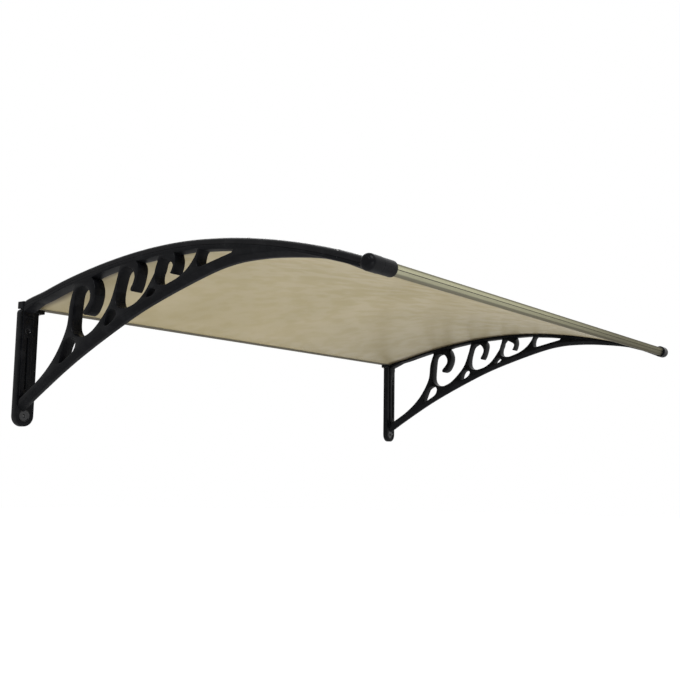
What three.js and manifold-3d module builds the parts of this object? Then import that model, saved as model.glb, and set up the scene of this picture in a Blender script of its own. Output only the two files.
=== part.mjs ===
import * as THREE from 'three';
import { mergeVertices, toCreasedNormals } from 'three/addons/utils/BufferGeometryUtils.js';
import Module from 'manifold-3d';

// Door canopy. Sizes are millimetres. X runs along the wall, the canopy reaches out towards -Y, Z is up.
// Side outlines are drawn in reach (distance out from the wall) and height above the wall posts.

// Overall sizes: bracket to bracket along the wall, and wall to the middle of the front bar
const BRACKET_SPACING = 1200;
const BAR_REACH = 771.3;
const WEB_WIDTH = 23.6;
const SEAT_GAP = 0.3;

// Arc of the roof: the top of the bracket rails is one circle, given by how far it drops from its apex
const ARC_APEX_HEIGHT = 64;
const ARC_WALL_DROP = 65.5;
const ARC_FRONT_DROP = 69.45;
const WALL_SHARE = Math.sqrt(ARC_WALL_DROP) / (Math.sqrt(ARC_WALL_DROP) + Math.sqrt(ARC_FRONT_DROP));
const ARC_APEX_REACH = BAR_REACH * WALL_SHARE;
const ARC_RADIUS = (ARC_APEX_REACH ** 2 + ARC_WALL_DROP ** 2) / (2 * ARC_WALL_DROP);
const WALL_SAG = 4.3;
const SAG_START = 18;
const SAG_FULL = 78;
const SAG_FADE = 170;
const SAG_END = 450;
const WALL_STATION_STEP = 12;
const STATION_STEP = 45;

// Roof sheet
const SHEET_THICKNESS = 3;
const SHEET_WIDTH = BRACKET_SPACING;
const SHEET_WALL_REACH = 10.5;
const SHEET_FRONT_INSET = 1.9;
const SHEET_FRONT_REACH = BAR_REACH - SHEET_FRONT_INSET;

// Wall post at the back of each bracket, with its screw holes
const POST_INNER = 23.3;
const POST_OUTER = 15.2;
const POST_HEIGHT = 212;
const POST_PLATE_DEPTH = 13;
const POST_CORNER_RADIUS = 8;
const PILLAR_WIDTH = 22;
const PILLAR_DEPTH = 2.4;
const PILLAR_TOP = -14;
const PILLAR_FOOT = -158;
const GROOVE_WIDTH = 3.4;
const GROOVE_DEPTH = 1.6;
const GROOVE_TOP = -52;
const GROOVE_FOOT = -146;
const UPPER_HOLE_HEIGHT = -40;
const WALL_HOLE_RADIUS = 2.8;
const COUNTERSINK_RADIUS = 5.6;
const COUNTERSINK_DEPTH = 3.2;
const TAB_DISH_RADIUS = 10.5;
const TAB_DISH_DEPTH = 1.5;
const SEAT_LEDGE_LENGTH = 10.5;
const SEAT_LEDGE_HEIGHT = 7;
const SEAT_RISE = 1.3;

// Arm under the roof: chamfered along its lower edge
const CHAMFER_HEIGHT = 7;
const CHAMFER_TAPER_START = BAR_REACH - 141;
const CHAMFER_TAPER_END = BAR_REACH - 71;
const CHAMFER_FRONT_SCALE = 0.35;
const CHAMFER_FLAT = 3.2;
const CHAMFER_ROUND_WIDTH = 1.6;
const CHAMFER_ROUND_HEIGHT = 0.7;
const UNDERSIDE_OVERLAP = 1.5;
const UNDERSIDE_STEPS = 32;
const WEB_SINK = 1;
const RAIL_BAND_DEPTH = 4.5;
const RAIL_BAND_PROUD = 0.5;

// Front bar and the boss that holds each of its ends
const BAR_HEIGHT = -0.3;
const BAR_DEPTH = 14;
const BAR_TALL = 18.5;
const BAR_CORNER = 4.6;
const BAR_END_INSET = 3.5;
const BAR_GROOVE = 1.2;
const BAR_WALL = 1.6;
const CHAMBER_BACK = 1.2;
const CHAMBER_HALF_TALL = 5.6;
const BAR_SLOT_OVERRUN = 40;
const BOSS_RADIUS = 12.5;
const BOSS_LENGTH = 30;
const BOSS_ROUNDING = 5;
const BOSS_WALL = 3;
const ARM_FRONT_INSET = 7.3;
const SLEEVE_LENGTH = 33;
const SLEEVE_RADIUS = 12.1;
const SLEEVE_BEVEL = 1.6;
const SLEEVE_EDGE = 0.5;

// Rear bar on top of the wall posts
const REAR_DEPTH = 15.4;
const REAR_TALL = 10.5;
const REAR_OVERHANG = 8;
const REAR_LOWER_BEVEL = 0.6;
const REAR_UPPER_BEVEL = 2;
const END_CAP_LENGTH = 6;
const END_CAP_RISE = 1.2;
const END_CAP_ROUNDING = 1.8;
const PEG_RADIUS = 1.7;
const PEG_LENGTH = 7;
const PEG_REACH = 3.7;

// Cover strip that clamps the sheet edge, and its rubber seal
const COVER_CROWN = 11.6;
const COVER_SIDE = 6;
const COVER_DOME_STEPS = 6;
const COVER_WALL_REACH = 16.1;
const COVER_FRONT_GAP = 2.8;
const COVER_FRONT_REACH = BAR_REACH - BOSS_RADIUS - COVER_FRONT_GAP;
const SEAL_THICKNESS = 1.2;
const SEAL_INSET = 0.6;
const BAR_SEAL_THICKNESS = 1.2;
const BAR_SEAL_DEPTH = 4;

// Screws
const COVER_SCREW_COUNT = 5;
const COVER_SCREW_OFFSET = 6;
const COVER_SCREW_WALL_INSET = 44;
const COVER_SCREW_FRONT_INSET = 41;
const SCREW_HEAD_RADIUS = 3;
const SCREW_HEAD_HEIGHT = 1.9;
const SCREW_RADIUS = 1.4;
const COVER_SCREW_LENGTH = 12;
const COVER_SCREW_SEAT = 8.2;
const SEAT_SCREW_LENGTH = 14;
const SEAT_SCREW_REACH = 3.8;
const DRIVE_SLOT_WIDTH = 0.9;
const DRIVE_SLOT_LENGTH = 3.6;
const DRIVE_SLOT_DEPTH = 0.9;
const BORE_OVERRUN = 2;
const ROUND_SEGMENTS = 24;
const SMALL_SEGMENTS = 10;

// The part's zero height is the middle of the rear bar's back face
const REAR_LOW = SEAT_RISE + SEAT_GAP;
const ZERO_HEIGHT = REAR_LOW + REAR_TALL / 2;
const HALF_SPACING = BRACKET_SPACING / 2;
const HALF_WEB = WEB_WIDTH / 2;

// Scrollwork of the bracket in reach and height, drawn for the arm that ends at its last point
const ARM_UNDERSIDE = [
  [8, -187.3], [60, -155.2], [140, -109.6], [220, -70.6], [310, -31.9], [390, -4.9],
  [470, 17.6], [515, 26], [555, 28.4], [610, 26.3], [680, 17.6], [722, 6.6], [764, -10.8],
];
const WALL_BAY = [
  ['line', [[13, -165.5], [33, -153]]],
  ['curve', [[66, -132.5], [96, -108], [120, -80], [140, -43], [145, -8], [149, 8], [154.5, 22]]],
  ['curve', [[155.5, 28.5], [151, 31.2]]],
  ['curve', [[100, 21.8], [60, 11.6], [30, -0.4], [16.5, -6]]],
  ['line', [[13, -7]]],
];
const FIRST_SCROLL = [
  ['curve', [[220, 42.6], [272, 50.4]]],
  ['curve', [[263, 20], [250, -11], [230, -35], [208, -53.5], [188, -62.2]]],
  ['curve', [[170, -61], [158, -53], [153.6, -40], [155, -14], [158.5, 12], [166, 21.8], [178, 25]]],
  ['curve', [[190, 22], [198, 11], [197, -2], [184, -17]]],
  ['curve', [[183, -22.5], [188, -25.2], [199, -19.5], [209, -2], [211.3, 16], [206, 31.5], [200.6, 38]]],
];
const SECOND_SCROLL = [
  ['curve', [[335, 54.8], [363.5, 56.4]]],
  ['curve', [[359, 36], [349, 19], [332, -2], [312, -16], [290, -22.3]]],
  ['curve', [[274, -20], [265.6, -11], [264.6, 4], [268.5, 22], [275, 38.5], [287, 46]]],
  ['curve', [[300, 43], [308.4, 31], [306.5, 20], [300.6, 10]]],
  ['curve', [[300.4, 6], [304.5, 5], [311, 17], [316, 35], [315.5, 46], [311, 53.6]]],
];
const THIRD_SCROLL = [
  ['line', [[451.5, 57.6]]],
  ['curve', [[444, 44], [430, 29], [410, 16.8], [382, 7.6]]],
  ['curve', [[366, 9], [357.8, 16], [358.4, 30], [363.5, 44.5], [370.5, 52]]],
  ['curve', [[381, 48.8], [395, 41.6]]],
  ['line', [[397.4, 37]]],
  ['curve', [[394.6, 30], [391.8, 25.5]]],
  ['curve', [[393.5, 24], [396.6, 25.4], [401.2, 38], [401.6, 48], [399, 57.2]]],
];
const LOWER_DROP = [
  ['curve', [[128, -86], [136, -69.5], [149, -62.3]]],
  ['curve', [[161, -63.5], [166, -72], [160, -85.6], [142, -97], [128, -104.5]]],
  ['curve', [[123.2, -104], [124, -96]]],
];
const MIDDLE_DROP = [
  ['curve', [[241, -34], [246.5, -25], [255, -22]]],
  ['curve', [[264, -24], [267.4, -29.5], [261, -39], [246, -47.6]]],
  ['curve', [[240, -47.4], [239, -42]]],
];
const UPPER_DROP = [
  ['curve', [[342, 0.6], [348, 5]]],
  ['curve', [[356, 4.4], [359.8, 0], [352, -6.3], [343, -8.4]]],
  ['curve', [[338.6, -7.6], [338.4, -5]]],
];
const FRONT_LIGHT = [
  ['curve', [[490, 52], [518, 48.4]]],
  ['curve', [[524.5, 46.4], [522, 42.6]]],
  ['curve', [[490, 35.6], [458, 28.4]]],
  ['curve', [[451.6, 29.6], [449.4, 38], [452, 50], [456.5, 54.8]]],
];
const SCROLL_HOLES = [
  [[13, -165.5], WALL_BAY],
  [[200.6, 38], FIRST_SCROLL],
  [[311, 53.6], SECOND_SCROLL],
  [[399, 57.2], THIRD_SCROLL],
  [[124, -96], LOWER_DROP],
  [[239, -42], MIDDLE_DROP],
  [[338.4, -5], UPPER_DROP],
  [[456.5, 54.8], FRONT_LIGHT],
];

// The drawn reaches grow with the reach of the front bar, and the heights stay
const DRAWN_ARM_REACH = ARM_UNDERSIDE[ARM_UNDERSIDE.length - 1][0];
const REACH_SCALE = (BAR_REACH - ARM_FRONT_INSET) / DRAWN_ARM_REACH;

function drawn([reach, height]) {
  return new THREE.Vector2(reach * REACH_SCALE, height);
}

const wasm = await Module();
wasm.setup();

// Closed geometry to a solid that can be joined and cut
function solid(geometry) {
  const bare = new THREE.BufferGeometry();
  bare.setAttribute('position', geometry.getAttribute('position').clone());
  if (geometry.index) bare.setIndex(geometry.index.clone());
  const welded = mergeVertices(bare, 1e-4);
  const vertProperties = new Float32Array(welded.getAttribute('position').array);
  const triVerts = new Uint32Array(welded.index.array);
  return new wasm.Manifold(new wasm.Mesh({ numProp: 3, vertProperties, triVerts }));
}

// Solid back to a geometry
function surface(body) {
  const mesh = body.getMesh();
  const geometry = new THREE.BufferGeometry();
  geometry.setAttribute('position', new THREE.BufferAttribute(new Float32Array(mesh.vertProperties), 3));
  geometry.setIndex(new THREE.BufferAttribute(new Uint32Array(mesh.triVerts), 1));
  return geometry;
}

// Mirror image about the middle plane of the canopy
function mirrored(geometry) {
  const copy = geometry.index ? geometry.toNonIndexed() : geometry.clone();
  const position = copy.getAttribute('position');
  for (let i = 0; i < position.count; i += 3) {
    const corners = [0, 2, 1].map((k) => new THREE.Vector3().fromBufferAttribute(position, i + k));
    corners.forEach((corner, k) => position.setXYZ(i + k, -corner.x, corner.y, corner.z));
  }
  copy.deleteAttribute('normal');
  return copy;
}

// The roof hangs a little under the circle where it leaves the wall, and joins it again further out
function wallSag(reach) {
  const grown = THREE.MathUtils.smoothstep(reach, SAG_START, SAG_FULL);
  const faded = THREE.MathUtils.smoothstep(reach, SAG_FADE, SAG_END);
  return WALL_SAG * (grown - faded);
}

// Reach and height of a point lifted above the roof arc, at an arc length measured from the apex
function arcPoint(arcLength, lift) {
  const angle = arcLength / ARC_RADIUS;
  const sag = wallSag(ARC_APEX_REACH + ARC_RADIUS * Math.sin(angle));
  return {
    reach: ARC_APEX_REACH + (ARC_RADIUS + lift) * Math.sin(angle),
    height: ARC_APEX_HEIGHT - ARC_RADIUS + (ARC_RADIUS + lift) * Math.cos(angle) - sag,
  };
}

// Reaches between two ends where every piece on the arc has a row of points, closer where the roof sags
function stationsBetween(wallReach, frontReach) {
  const stations = [];
  for (let reach = SAG_START; reach < frontReach; reach += reach < SAG_FULL ? WALL_STATION_STEP : STATION_STEP) {
    if (reach > wallReach + 1 && reach < frontReach - 1) stations.push(reach);
  }
  return [wallReach, ...stations, frontReach];
}

function arcLengthAt(reach) {
  return ARC_RADIUS * Math.asin((reach - ARC_APEX_REACH) / ARC_RADIUS);
}

// A flat outline of points
function polygon(points) {
  return new THREE.Shape(points.map(([x, y]) => new THREE.Vector2(x, y)));
}

// Every vertex of a geometry through one formula
function reshape(geometry, formula) {
  const position = geometry.getAttribute('position');
  for (let i = 0; i < position.count; i += 1) {
    const [x, y, z] = formula(position.getX(i), position.getY(i), position.getZ(i));
    position.setXYZ(i, x, y, z);
  }
  return geometry;
}

// Outline in X and lift, carried along the roof arc between two reaches
function alongArc(outline, wallReach, frontReach) {
  const stations = stationsBetween(wallReach, frontReach);
  const steps = stations.length - 1;
  const geometry = new THREE.ExtrudeGeometry(outline, { depth: steps, steps, bevelEnabled: false });
  return reshape(geometry, (x, lift, row) => {
    const { reach, height } = arcPoint(arcLengthAt(stations[Math.round(row)]), lift);
    return [x, -reach, height];
  });
}

// Outline in reach and height, extruded along X between two X values
function acrossX(outline, fromX, toX, curveSegments = 2) {
  const depth = toX - fromX;
  const geometry = new THREE.ExtrudeGeometry(outline, { depth, curveSegments, bevelEnabled: false });
  return reshape(geometry, (reach, height, along) => [toX - along, -reach, height]);
}

// Outline in X and height, extruded out from the wall between two reaches
function outFromWall(outline, fromReach, toReach, curveSegments = 6) {
  const depth = toReach - fromReach;
  const geometry = new THREE.ExtrudeGeometry(outline, { depth, curveSegments, bevelEnabled: false });
  return reshape(geometry, (x, height, along) => [x, -(fromReach + along), height]);
}

function box(x0, x1, reach0, reach1, z0, z1) {
  const geometry = new THREE.BoxGeometry(x1 - x0, reach1 - reach0, z1 - z0);
  return geometry.translate((x0 + x1) / 2, -(reach0 + reach1) / 2, (z0 + z1) / 2);
}

// Closed turned body about its own Y axis from pairs of radius and height
function turned(profile, segments) {
  return new THREE.LatheGeometry(profile.map(([r, y]) => new THREE.Vector2(r, y)), segments);
}

function rod(radius, length, segments = SMALL_SEGMENTS) {
  return turned([[0, 0], [radius, 0], [radius, length], [0, length]], segments);
}

// Line along the arm's lower edge, and a point a given height above it
const underside = new THREE.SplineCurve(ARM_UNDERSIDE.map(drawn));

// The arm thins towards the front bar, and its chamfer with it
function aboveUnderside(t, height) {
  const point = underside.getPointAt(t);
  const tangent = underside.getTangentAt(t);
  const taper = THREE.MathUtils.smoothstep(point.x, CHAMFER_TAPER_START, CHAMFER_TAPER_END);
  const lift = height * THREE.MathUtils.lerp(1, CHAMFER_FRONT_SCALE, taper);
  return [point.x - tangent.y * lift, point.y + tangent.x * lift];
}

// One cut-out of the scrollwork, drawn from its start point by lines and smooth curves
function scrollHole([start, parts]) {
  const path = new THREE.Path();
  const first = drawn(start);
  path.moveTo(first.x, first.y);
  for (const [kind, points] of parts) {
    if (kind === 'curve') path.splineThru(points.map(drawn));
    if (kind === 'line') points.map(drawn).forEach((point) => path.lineTo(point.x, point.y));
  }
  return path;
}

// Side outline of the web: arm underside, boss, roof arc and the post behind
function webOutline() {
  const points = [];
  for (let i = 0; i <= UNDERSIDE_STEPS; i += 1) {
    points.push(aboveUnderside(i / UNDERSIDE_STEPS, CHAMFER_HEIGHT));
  }
  for (const station of stationsBetween(REAR_DEPTH + SEAT_GAP, BAR_REACH - BOSS_RADIUS / 2).reverse()) {
    const { reach, height } = arcPoint(arcLengthAt(station), -WEB_SINK);
    points.push([reach, height]);
  }
  points.push([REAR_DEPTH + SEAT_GAP, -1], [ARM_UNDERSIDE[0][0], -1]);
  const shape = polygon(points);
  shape.holes = SCROLL_HOLES.map(scrollHole);
  return shape;
}

// Chamfered strip along the arm's lower edge
function armUnderside() {
  const top = CHAMFER_HEIGHT + UNDERSIDE_OVERLAP;
  const side = HALF_WEB - UNDERSIDE_OVERLAP;
  const shoulder = CHAMFER_FLAT + CHAMFER_ROUND_WIDTH;
  const rightHalf = [
    [CHAMFER_FLAT, 0], [shoulder, CHAMFER_ROUND_HEIGHT], [HALF_WEB, CHAMFER_HEIGHT], [side, CHAMFER_HEIGHT], [side, top],
  ];
  const leftHalf = rightHalf.map(([x, lift]) => [-x, lift]).reverse();
  const outline = polygon([...leftHalf, ...rightHalf]);
  const geometry = new THREE.ExtrudeGeometry(outline, { depth: 1, steps: UNDERSIDE_STEPS, bevelEnabled: false });
  return reshape(geometry, (x, lift, t) => {
    const [reach, height] = aboveUnderside(t, lift);
    return [HALF_SPACING + x, -reach, height];
  });
}

// Wall post: plate with a rounded foot, a grooved pillar on its front and the ledge under the rear bar
function wallPost() {
  const inner = HALF_SPACING - POST_INNER;
  const outer = HALF_SPACING + POST_OUTER;
  const half = (POST_INNER + POST_OUTER) / 2;
  const middle = (inner + outer) / 2;
  const foot = half - POST_HEIGHT;
  const plate = new THREE.Shape();
  plate.moveTo(inner, 0);
  plate.lineTo(inner, foot);
  plate.absarc(middle, foot, half, Math.PI, 2 * Math.PI, false);
  plate.lineTo(outer, -POST_CORNER_RADIUS);
  plate.absarc(outer - POST_CORNER_RADIUS, -POST_CORNER_RADIUS, POST_CORNER_RADIUS, 0, Math.PI / 2, false);
  const seat = box(inner - SEAT_LEDGE_LENGTH, HALF_SPACING + REAR_OVERHANG, 0, REAR_DEPTH,
    SEAT_RISE - SEAT_LEDGE_HEIGHT, SEAT_RISE);
  const pillar = box(HALF_SPACING - PILLAR_WIDTH / 2, HALF_SPACING + PILLAR_WIDTH / 2,
    POST_PLATE_DEPTH - 1, POST_PLATE_DEPTH + PILLAR_DEPTH, PILLAR_FOOT, PILLAR_TOP);
  const head = box(HALF_SPACING - HALF_WEB, HALF_SPACING + HALF_WEB,
    POST_PLATE_DEPTH - 1, REAR_DEPTH + SEAT_GAP, PILLAR_TOP - 1, 0);
  return solid(outFromWall(plate, 0, POST_PLATE_DEPTH, 8)).add(solid(seat)).add(solid(pillar)).add(solid(head));
}

// Round tool pointing into the wall post from its front face
function wallTool(profile, x, height, faceReach, segments = 16) {
  const tool = turned(profile, segments);
  tool.rotateX(Math.PI);
  return solid(tool.translate(x, -faceReach, height));
}

// Groove, countersunk upper hole and the dished foot with its hole
function wallPostCuts() {
  const face = POST_PLATE_DEPTH + PILLAR_DEPTH;
  const middle = HALF_SPACING + (POST_OUTER - POST_INNER) / 2;
  const half = (POST_INNER + POST_OUTER) / 2;
  const groove = box(HALF_SPACING - GROOVE_WIDTH / 2, HALF_SPACING + GROOVE_WIDTH / 2,
    face - GROOVE_DEPTH, face + 1, GROOVE_FOOT, GROOVE_TOP);
  const through = [[0, -face - 1], [WALL_HOLE_RADIUS, -face - 1], [WALL_HOLE_RADIUS, -COUNTERSINK_DEPTH],
    [COUNTERSINK_RADIUS, 0], [COUNTERSINK_RADIUS, 1], [0, 1]];
  const upper = wallTool(through, HALF_SPACING, UPPER_HOLE_HEIGHT, face);
  const plateHole = [[0, -POST_PLATE_DEPTH - 1], [WALL_HOLE_RADIUS, -POST_PLATE_DEPTH - 1],
    [WALL_HOLE_RADIUS, 1], [0, 1]];
  const lower = wallTool(plateHole, middle, half - POST_HEIGHT, POST_PLATE_DEPTH);
  const dish = [[0, -TAB_DISH_DEPTH], [TAB_DISH_RADIUS - 1.5, -TAB_DISH_DEPTH], [TAB_DISH_RADIUS, 0],
    [TAB_DISH_RADIUS, 1], [0, 1]];
  return solid(groove).add(upper).add(lower).add(wallTool(dish, middle, half - POST_HEIGHT, POST_PLATE_DEPTH));
}

// Round body lying along X at the front bar, from an inner X to an outer X
function aroundBar(profile) {
  const body = turned(profile, ROUND_SEGMENTS);
  body.rotateZ(-Math.PI / 2);
  return body.translate(0, -BAR_REACH, BAR_HEIGHT);
}

function boss() {
  const inner = HALF_SPACING - HALF_WEB;
  const outer = inner + BOSS_LENGTH;
  const flat = BOSS_RADIUS - 0.8 * BOSS_ROUNDING;
  const rounding = [0, 1, 2].map((i) => {
    const angle = i * Math.PI / 4;
    return [flat + (BOSS_RADIUS - flat) * Math.cos(angle), outer - BOSS_ROUNDING * (1 - Math.sin(angle))];
  });
  return aroundBar([[0, inner], [BOSS_RADIUS, inner], ...rounding, [0, outer]]);
}

// Front bar section, tilted with the sheet; grow widens it all round for the sockets
function barSection(grow, grooved) {
  const w = BAR_DEPTH / 2 + grow;
  const h = BAR_TALL / 2 + grow;
  const r = BAR_CORNER;
  const shape = new THREE.Shape();
  shape.moveTo(-w, -h + r);
  shape.absarc(-w + r, -h + r, r, Math.PI, 1.5 * Math.PI, false);
  shape.absarc(w - r, -h + r, r, 1.5 * Math.PI, 2 * Math.PI, false);
  if (grooved) {
    shape.lineTo(w, BAR_GROOVE);
    shape.lineTo(w - BAR_GROOVE, BAR_GROOVE * 1.2);
    shape.lineTo(w - BAR_GROOVE, BAR_GROOVE * 1.8);
    shape.lineTo(w, BAR_GROOVE * 2);
  }
  shape.absarc(w - r, h - r, r, 0, Math.PI / 2, false);
  shape.absarc(-w + r, h - r, r, Math.PI / 2, Math.PI, false);
  return shape;
}

const barTilt = -Math.asin((BAR_REACH - ARC_APEX_REACH) / ARC_RADIUS);

function tiltedBar(section, fromX, toX) {
  const geometry = acrossX(section, fromX, toX, 4);
  geometry.rotateX(-barTilt);
  return geometry.translate(0, -BAR_REACH, BAR_HEIGHT);
}

// Slit in the boss for the front corner of the sheet, one gap wider all round
function sheetCorner() {
  const half = SHEET_WIDTH / 2 + SEAT_GAP;
  const lift = SHEET_THICKNESS + 2 * SEAT_GAP;
  const outline = polygon([[-half, 0], [half, 0], [half, lift], [-half, lift]]);
  return solid(alongArc(outline, COVER_FRONT_REACH + SEAT_GAP, SHEET_FRONT_REACH + SEAT_GAP));
}

// Reaches of the cover screws, evenly spaced
function coverScrewReaches() {
  const first = COVER_WALL_REACH + COVER_SCREW_WALL_INSET;
  const step = (COVER_FRONT_REACH - COVER_SCREW_FRONT_INSET - first) / (COVER_SCREW_COUNT - 1);
  return Array.from({ length: COVER_SCREW_COUNT }, (_, i) => first + i * step);
}

// Body turned about its Y axis, stood square on the roof arc at a reach and lift
function onArc(geometry, x, reach, lift) {
  const along = arcLengthAt(reach);
  const seat = arcPoint(along, lift);
  geometry.rotateX(Math.PI / 2 + along / ARC_RADIUS);
  return geometry.translate(x, -seat.reach, seat.height);
}

// Right-hand bracket: web, arm underside, rail band, wall post and boss joined, then bored
function bracket() {
  const inner = HALF_SPACING - HALF_WEB;
  const outer = HALF_SPACING + HALF_WEB;
  const band = polygon([[inner - RAIL_BAND_PROUD, -RAIL_BAND_DEPTH], [outer + RAIL_BAND_PROUD, -RAIL_BAND_DEPTH],
    [outer + RAIL_BAND_PROUD, 0], [inner - RAIL_BAND_PROUD, 0]]);
  const rail = alongArc(band, REAR_DEPTH + SEAT_GAP, COVER_FRONT_REACH);
  let body = solid(acrossX(webOutline(), inner, outer)).add(solid(armUnderside())).add(solid(rail));
  body = body.add(wallPost()).add(solid(boss())).subtract(wallPostCuts());
  const socketEnd = inner + BOSS_LENGTH - BOSS_WALL;
  body = body.subtract(solid(tiltedBar(barSection(SEAT_GAP, false), inner - 1, socketEnd)));
  body = body.subtract(sheetCorner());
  for (const reach of coverScrewReaches()) {
    const bore = rod(SCREW_RADIUS + SEAT_GAP, COVER_SCREW_LENGTH + SEAT_GAP);
    const lift = COVER_SCREW_SEAT - COVER_SCREW_LENGTH - SEAT_GAP;
    body = body.subtract(solid(onArc(bore, HALF_SPACING + COVER_SCREW_OFFSET, reach, lift)));
  }
  return surface(body.subtract(solid(seatScrewBore())));
}

// Cover strip: domed outside, a lip beside the sheet edge, counterbored for its screws
function coverStrip() {
  const sealTop = SHEET_THICKNESS + SEAL_THICKNESS + 3 * SEAT_GAP;
  const lip = SEAT_GAP * 3;
  const crown = Array.from({ length: COVER_DOME_STEPS + 1 }, (_, i) => {
    const angle = i * Math.PI / COVER_DOME_STEPS;
    return [-HALF_WEB * Math.cos(angle), COVER_SIDE + (COVER_CROWN - COVER_SIDE) * Math.sin(angle)];
  });
  const under = [[HALF_WEB, SEAT_GAP], [lip, SEAT_GAP], [lip, sealTop], [-HALF_WEB, sealTop]];
  const outline = polygon([...crown, ...under].map(([x, lift]) => [HALF_SPACING + x, lift]));
  const lean = COVER_CROWN / 2;
  let body = solid(alongArc(outline, COVER_WALL_REACH - lean, COVER_FRONT_REACH));
  body = body.subtract(solid(box(0, BRACKET_SPACING, -1, COVER_WALL_REACH, -20, 60)));
  for (const reach of coverScrewReaches()) {
    const bore = rod(SCREW_RADIUS + SEAT_GAP, COVER_SCREW_LENGTH + BORE_OVERRUN);
    const well = rod(SCREW_HEAD_RADIUS + 2 * SEAT_GAP, COVER_CROWN);
    const x = HALF_SPACING + COVER_SCREW_OFFSET;
    body = body.subtract(solid(onArc(bore, x, reach, -BORE_OVERRUN)));
    body = body.subtract(solid(onArc(well, x, reach, COVER_SCREW_SEAT)));
  }
  return surface(body);
}

// Pan-head screw with a crossed drive, tip at zero and head up along Y
function screw(length) {
  const top = length + SCREW_HEAD_HEIGHT;
  const profile = [[0, 0], [SCREW_RADIUS * 0.4, 0.6], [SCREW_RADIUS, 2.4], [SCREW_RADIUS, length],
    [SCREW_HEAD_RADIUS, length], [SCREW_HEAD_RADIUS, length + SCREW_HEAD_HEIGHT * 0.45],
    [SCREW_HEAD_RADIUS * 0.7, length + SCREW_HEAD_HEIGHT * 0.9], [0, top]];
  let body = solid(turned(profile, SMALL_SEGMENTS));
  for (const [w, d] of [[DRIVE_SLOT_WIDTH, DRIVE_SLOT_LENGTH], [DRIVE_SLOT_LENGTH, DRIVE_SLOT_WIDTH]]) {
    const slot = new THREE.BoxGeometry(w, 2 * DRIVE_SLOT_DEPTH, d).translate(0, top, 0);
    body = body.subtract(solid(slot));
  }
  return surface(body);
}

function coverScrew(reach) {
  const lift = COVER_SCREW_SEAT + SEAT_GAP - COVER_SCREW_LENGTH;
  return onArc(screw(COVER_SCREW_LENGTH), HALF_SPACING + COVER_SCREW_OFFSET, reach, lift);
}

// Screw that comes up through the ledge of the wall post into the rear bar
const seatScrewX = HALF_SPACING - POST_INNER - SEAT_LEDGE_LENGTH / 2;
const seatScrewTip = SEAT_RISE - SEAT_LEDGE_HEIGHT - SEAT_GAP + SEAT_SCREW_LENGTH;

function seatScrew() {
  const body = screw(SEAT_SCREW_LENGTH).rotateX(-Math.PI / 2);
  return body.translate(seatScrewX, -SEAT_SCREW_REACH, seatScrewTip);
}

function seatScrewBore() {
  const bore = rod(SCREW_RADIUS + SEAT_GAP, SEAT_SCREW_LENGTH + BORE_OVERRUN).rotateX(-Math.PI / 2);
  return bore.translate(seatScrewX, -SEAT_SCREW_REACH, seatScrewTip + SEAT_GAP);
}

// Translucent roof sheet, bent to the arc
function roofSheet() {
  const half = SHEET_WIDTH / 2;
  const low = SEAT_GAP;
  const high = SEAT_GAP + SHEET_THICKNESS;
  const outline = polygon([[-half, low], [half, low], [half, high], [-half, high]]);
  return alongArc(outline, SHEET_WALL_REACH, SHEET_FRONT_REACH);
}

// Rubber strip between the sheet edge and the cover
function edgeSeal() {
  const low = SHEET_THICKNESS + 2 * SEAT_GAP;
  const inner = HALF_SPACING - HALF_WEB + SEAL_INSET;
  const outer = HALF_SPACING - SEAL_INSET;
  const outline = polygon([[inner, low], [outer, low], [outer, low + SEAL_THICKNESS], [inner, low + SEAL_THICKNESS]]);
  return alongArc(outline, COVER_WALL_REACH + 4 * SEAL_INSET, COVER_FRONT_REACH - SEAL_INSET);
}

// Front bar: slot for the sheet and its seal at the back, one hollow chamber at the front
function frontBar() {
  const end = HALF_SPACING - HALF_WEB + BOSS_LENGTH - BOSS_WALL - BAR_END_INSET;
  const section = barSection(0, true);
  const chamberFront = BAR_DEPTH / 2 - BAR_WALL - BAR_GROOVE;
  const chamber = polygon([[CHAMBER_BACK, -CHAMBER_HALF_TALL], [chamberFront, -CHAMBER_HALF_TALL],
    [chamberFront, CHAMBER_HALF_TALL], [CHAMBER_BACK, CHAMBER_HALF_TALL]]);
  section.holes.push(chamber);
  return surface(solid(tiltedBar(section, -end, end)).subtract(frontBarSlot()));
}

// Slot cut of both bars: sheet plus seal, open towards the roof
function barSlot(wallReach, frontReach) {
  const half = HALF_SPACING + BAR_SLOT_OVERRUN;
  const lift = SHEET_THICKNESS + BAR_SEAL_THICKNESS + 3 * SEAT_GAP;
  const outline = polygon([[-half, 0], [half, 0], [half, lift], [-half, lift]]);
  return solid(alongArc(outline, wallReach, frontReach));
}

function frontBarSlot() {
  return barSlot(BAR_REACH - 2 * BOSS_RADIUS, SHEET_FRONT_REACH + SEAT_GAP);
}

// Rubber strip above the sheet inside a bar, ending short of the brackets
function barSeal(wallReach, frontReach) {
  const half = HALF_SPACING - HALF_WEB - SLEEVE_LENGTH - BAR_SEAL_DEPTH;
  const low = SHEET_THICKNESS + 2 * SEAT_GAP;
  const high = low + BAR_SEAL_THICKNESS;
  return alongArc(polygon([[-half, low], [half, low], [half, high], [-half, high]]), wallReach, frontReach);
}

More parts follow.
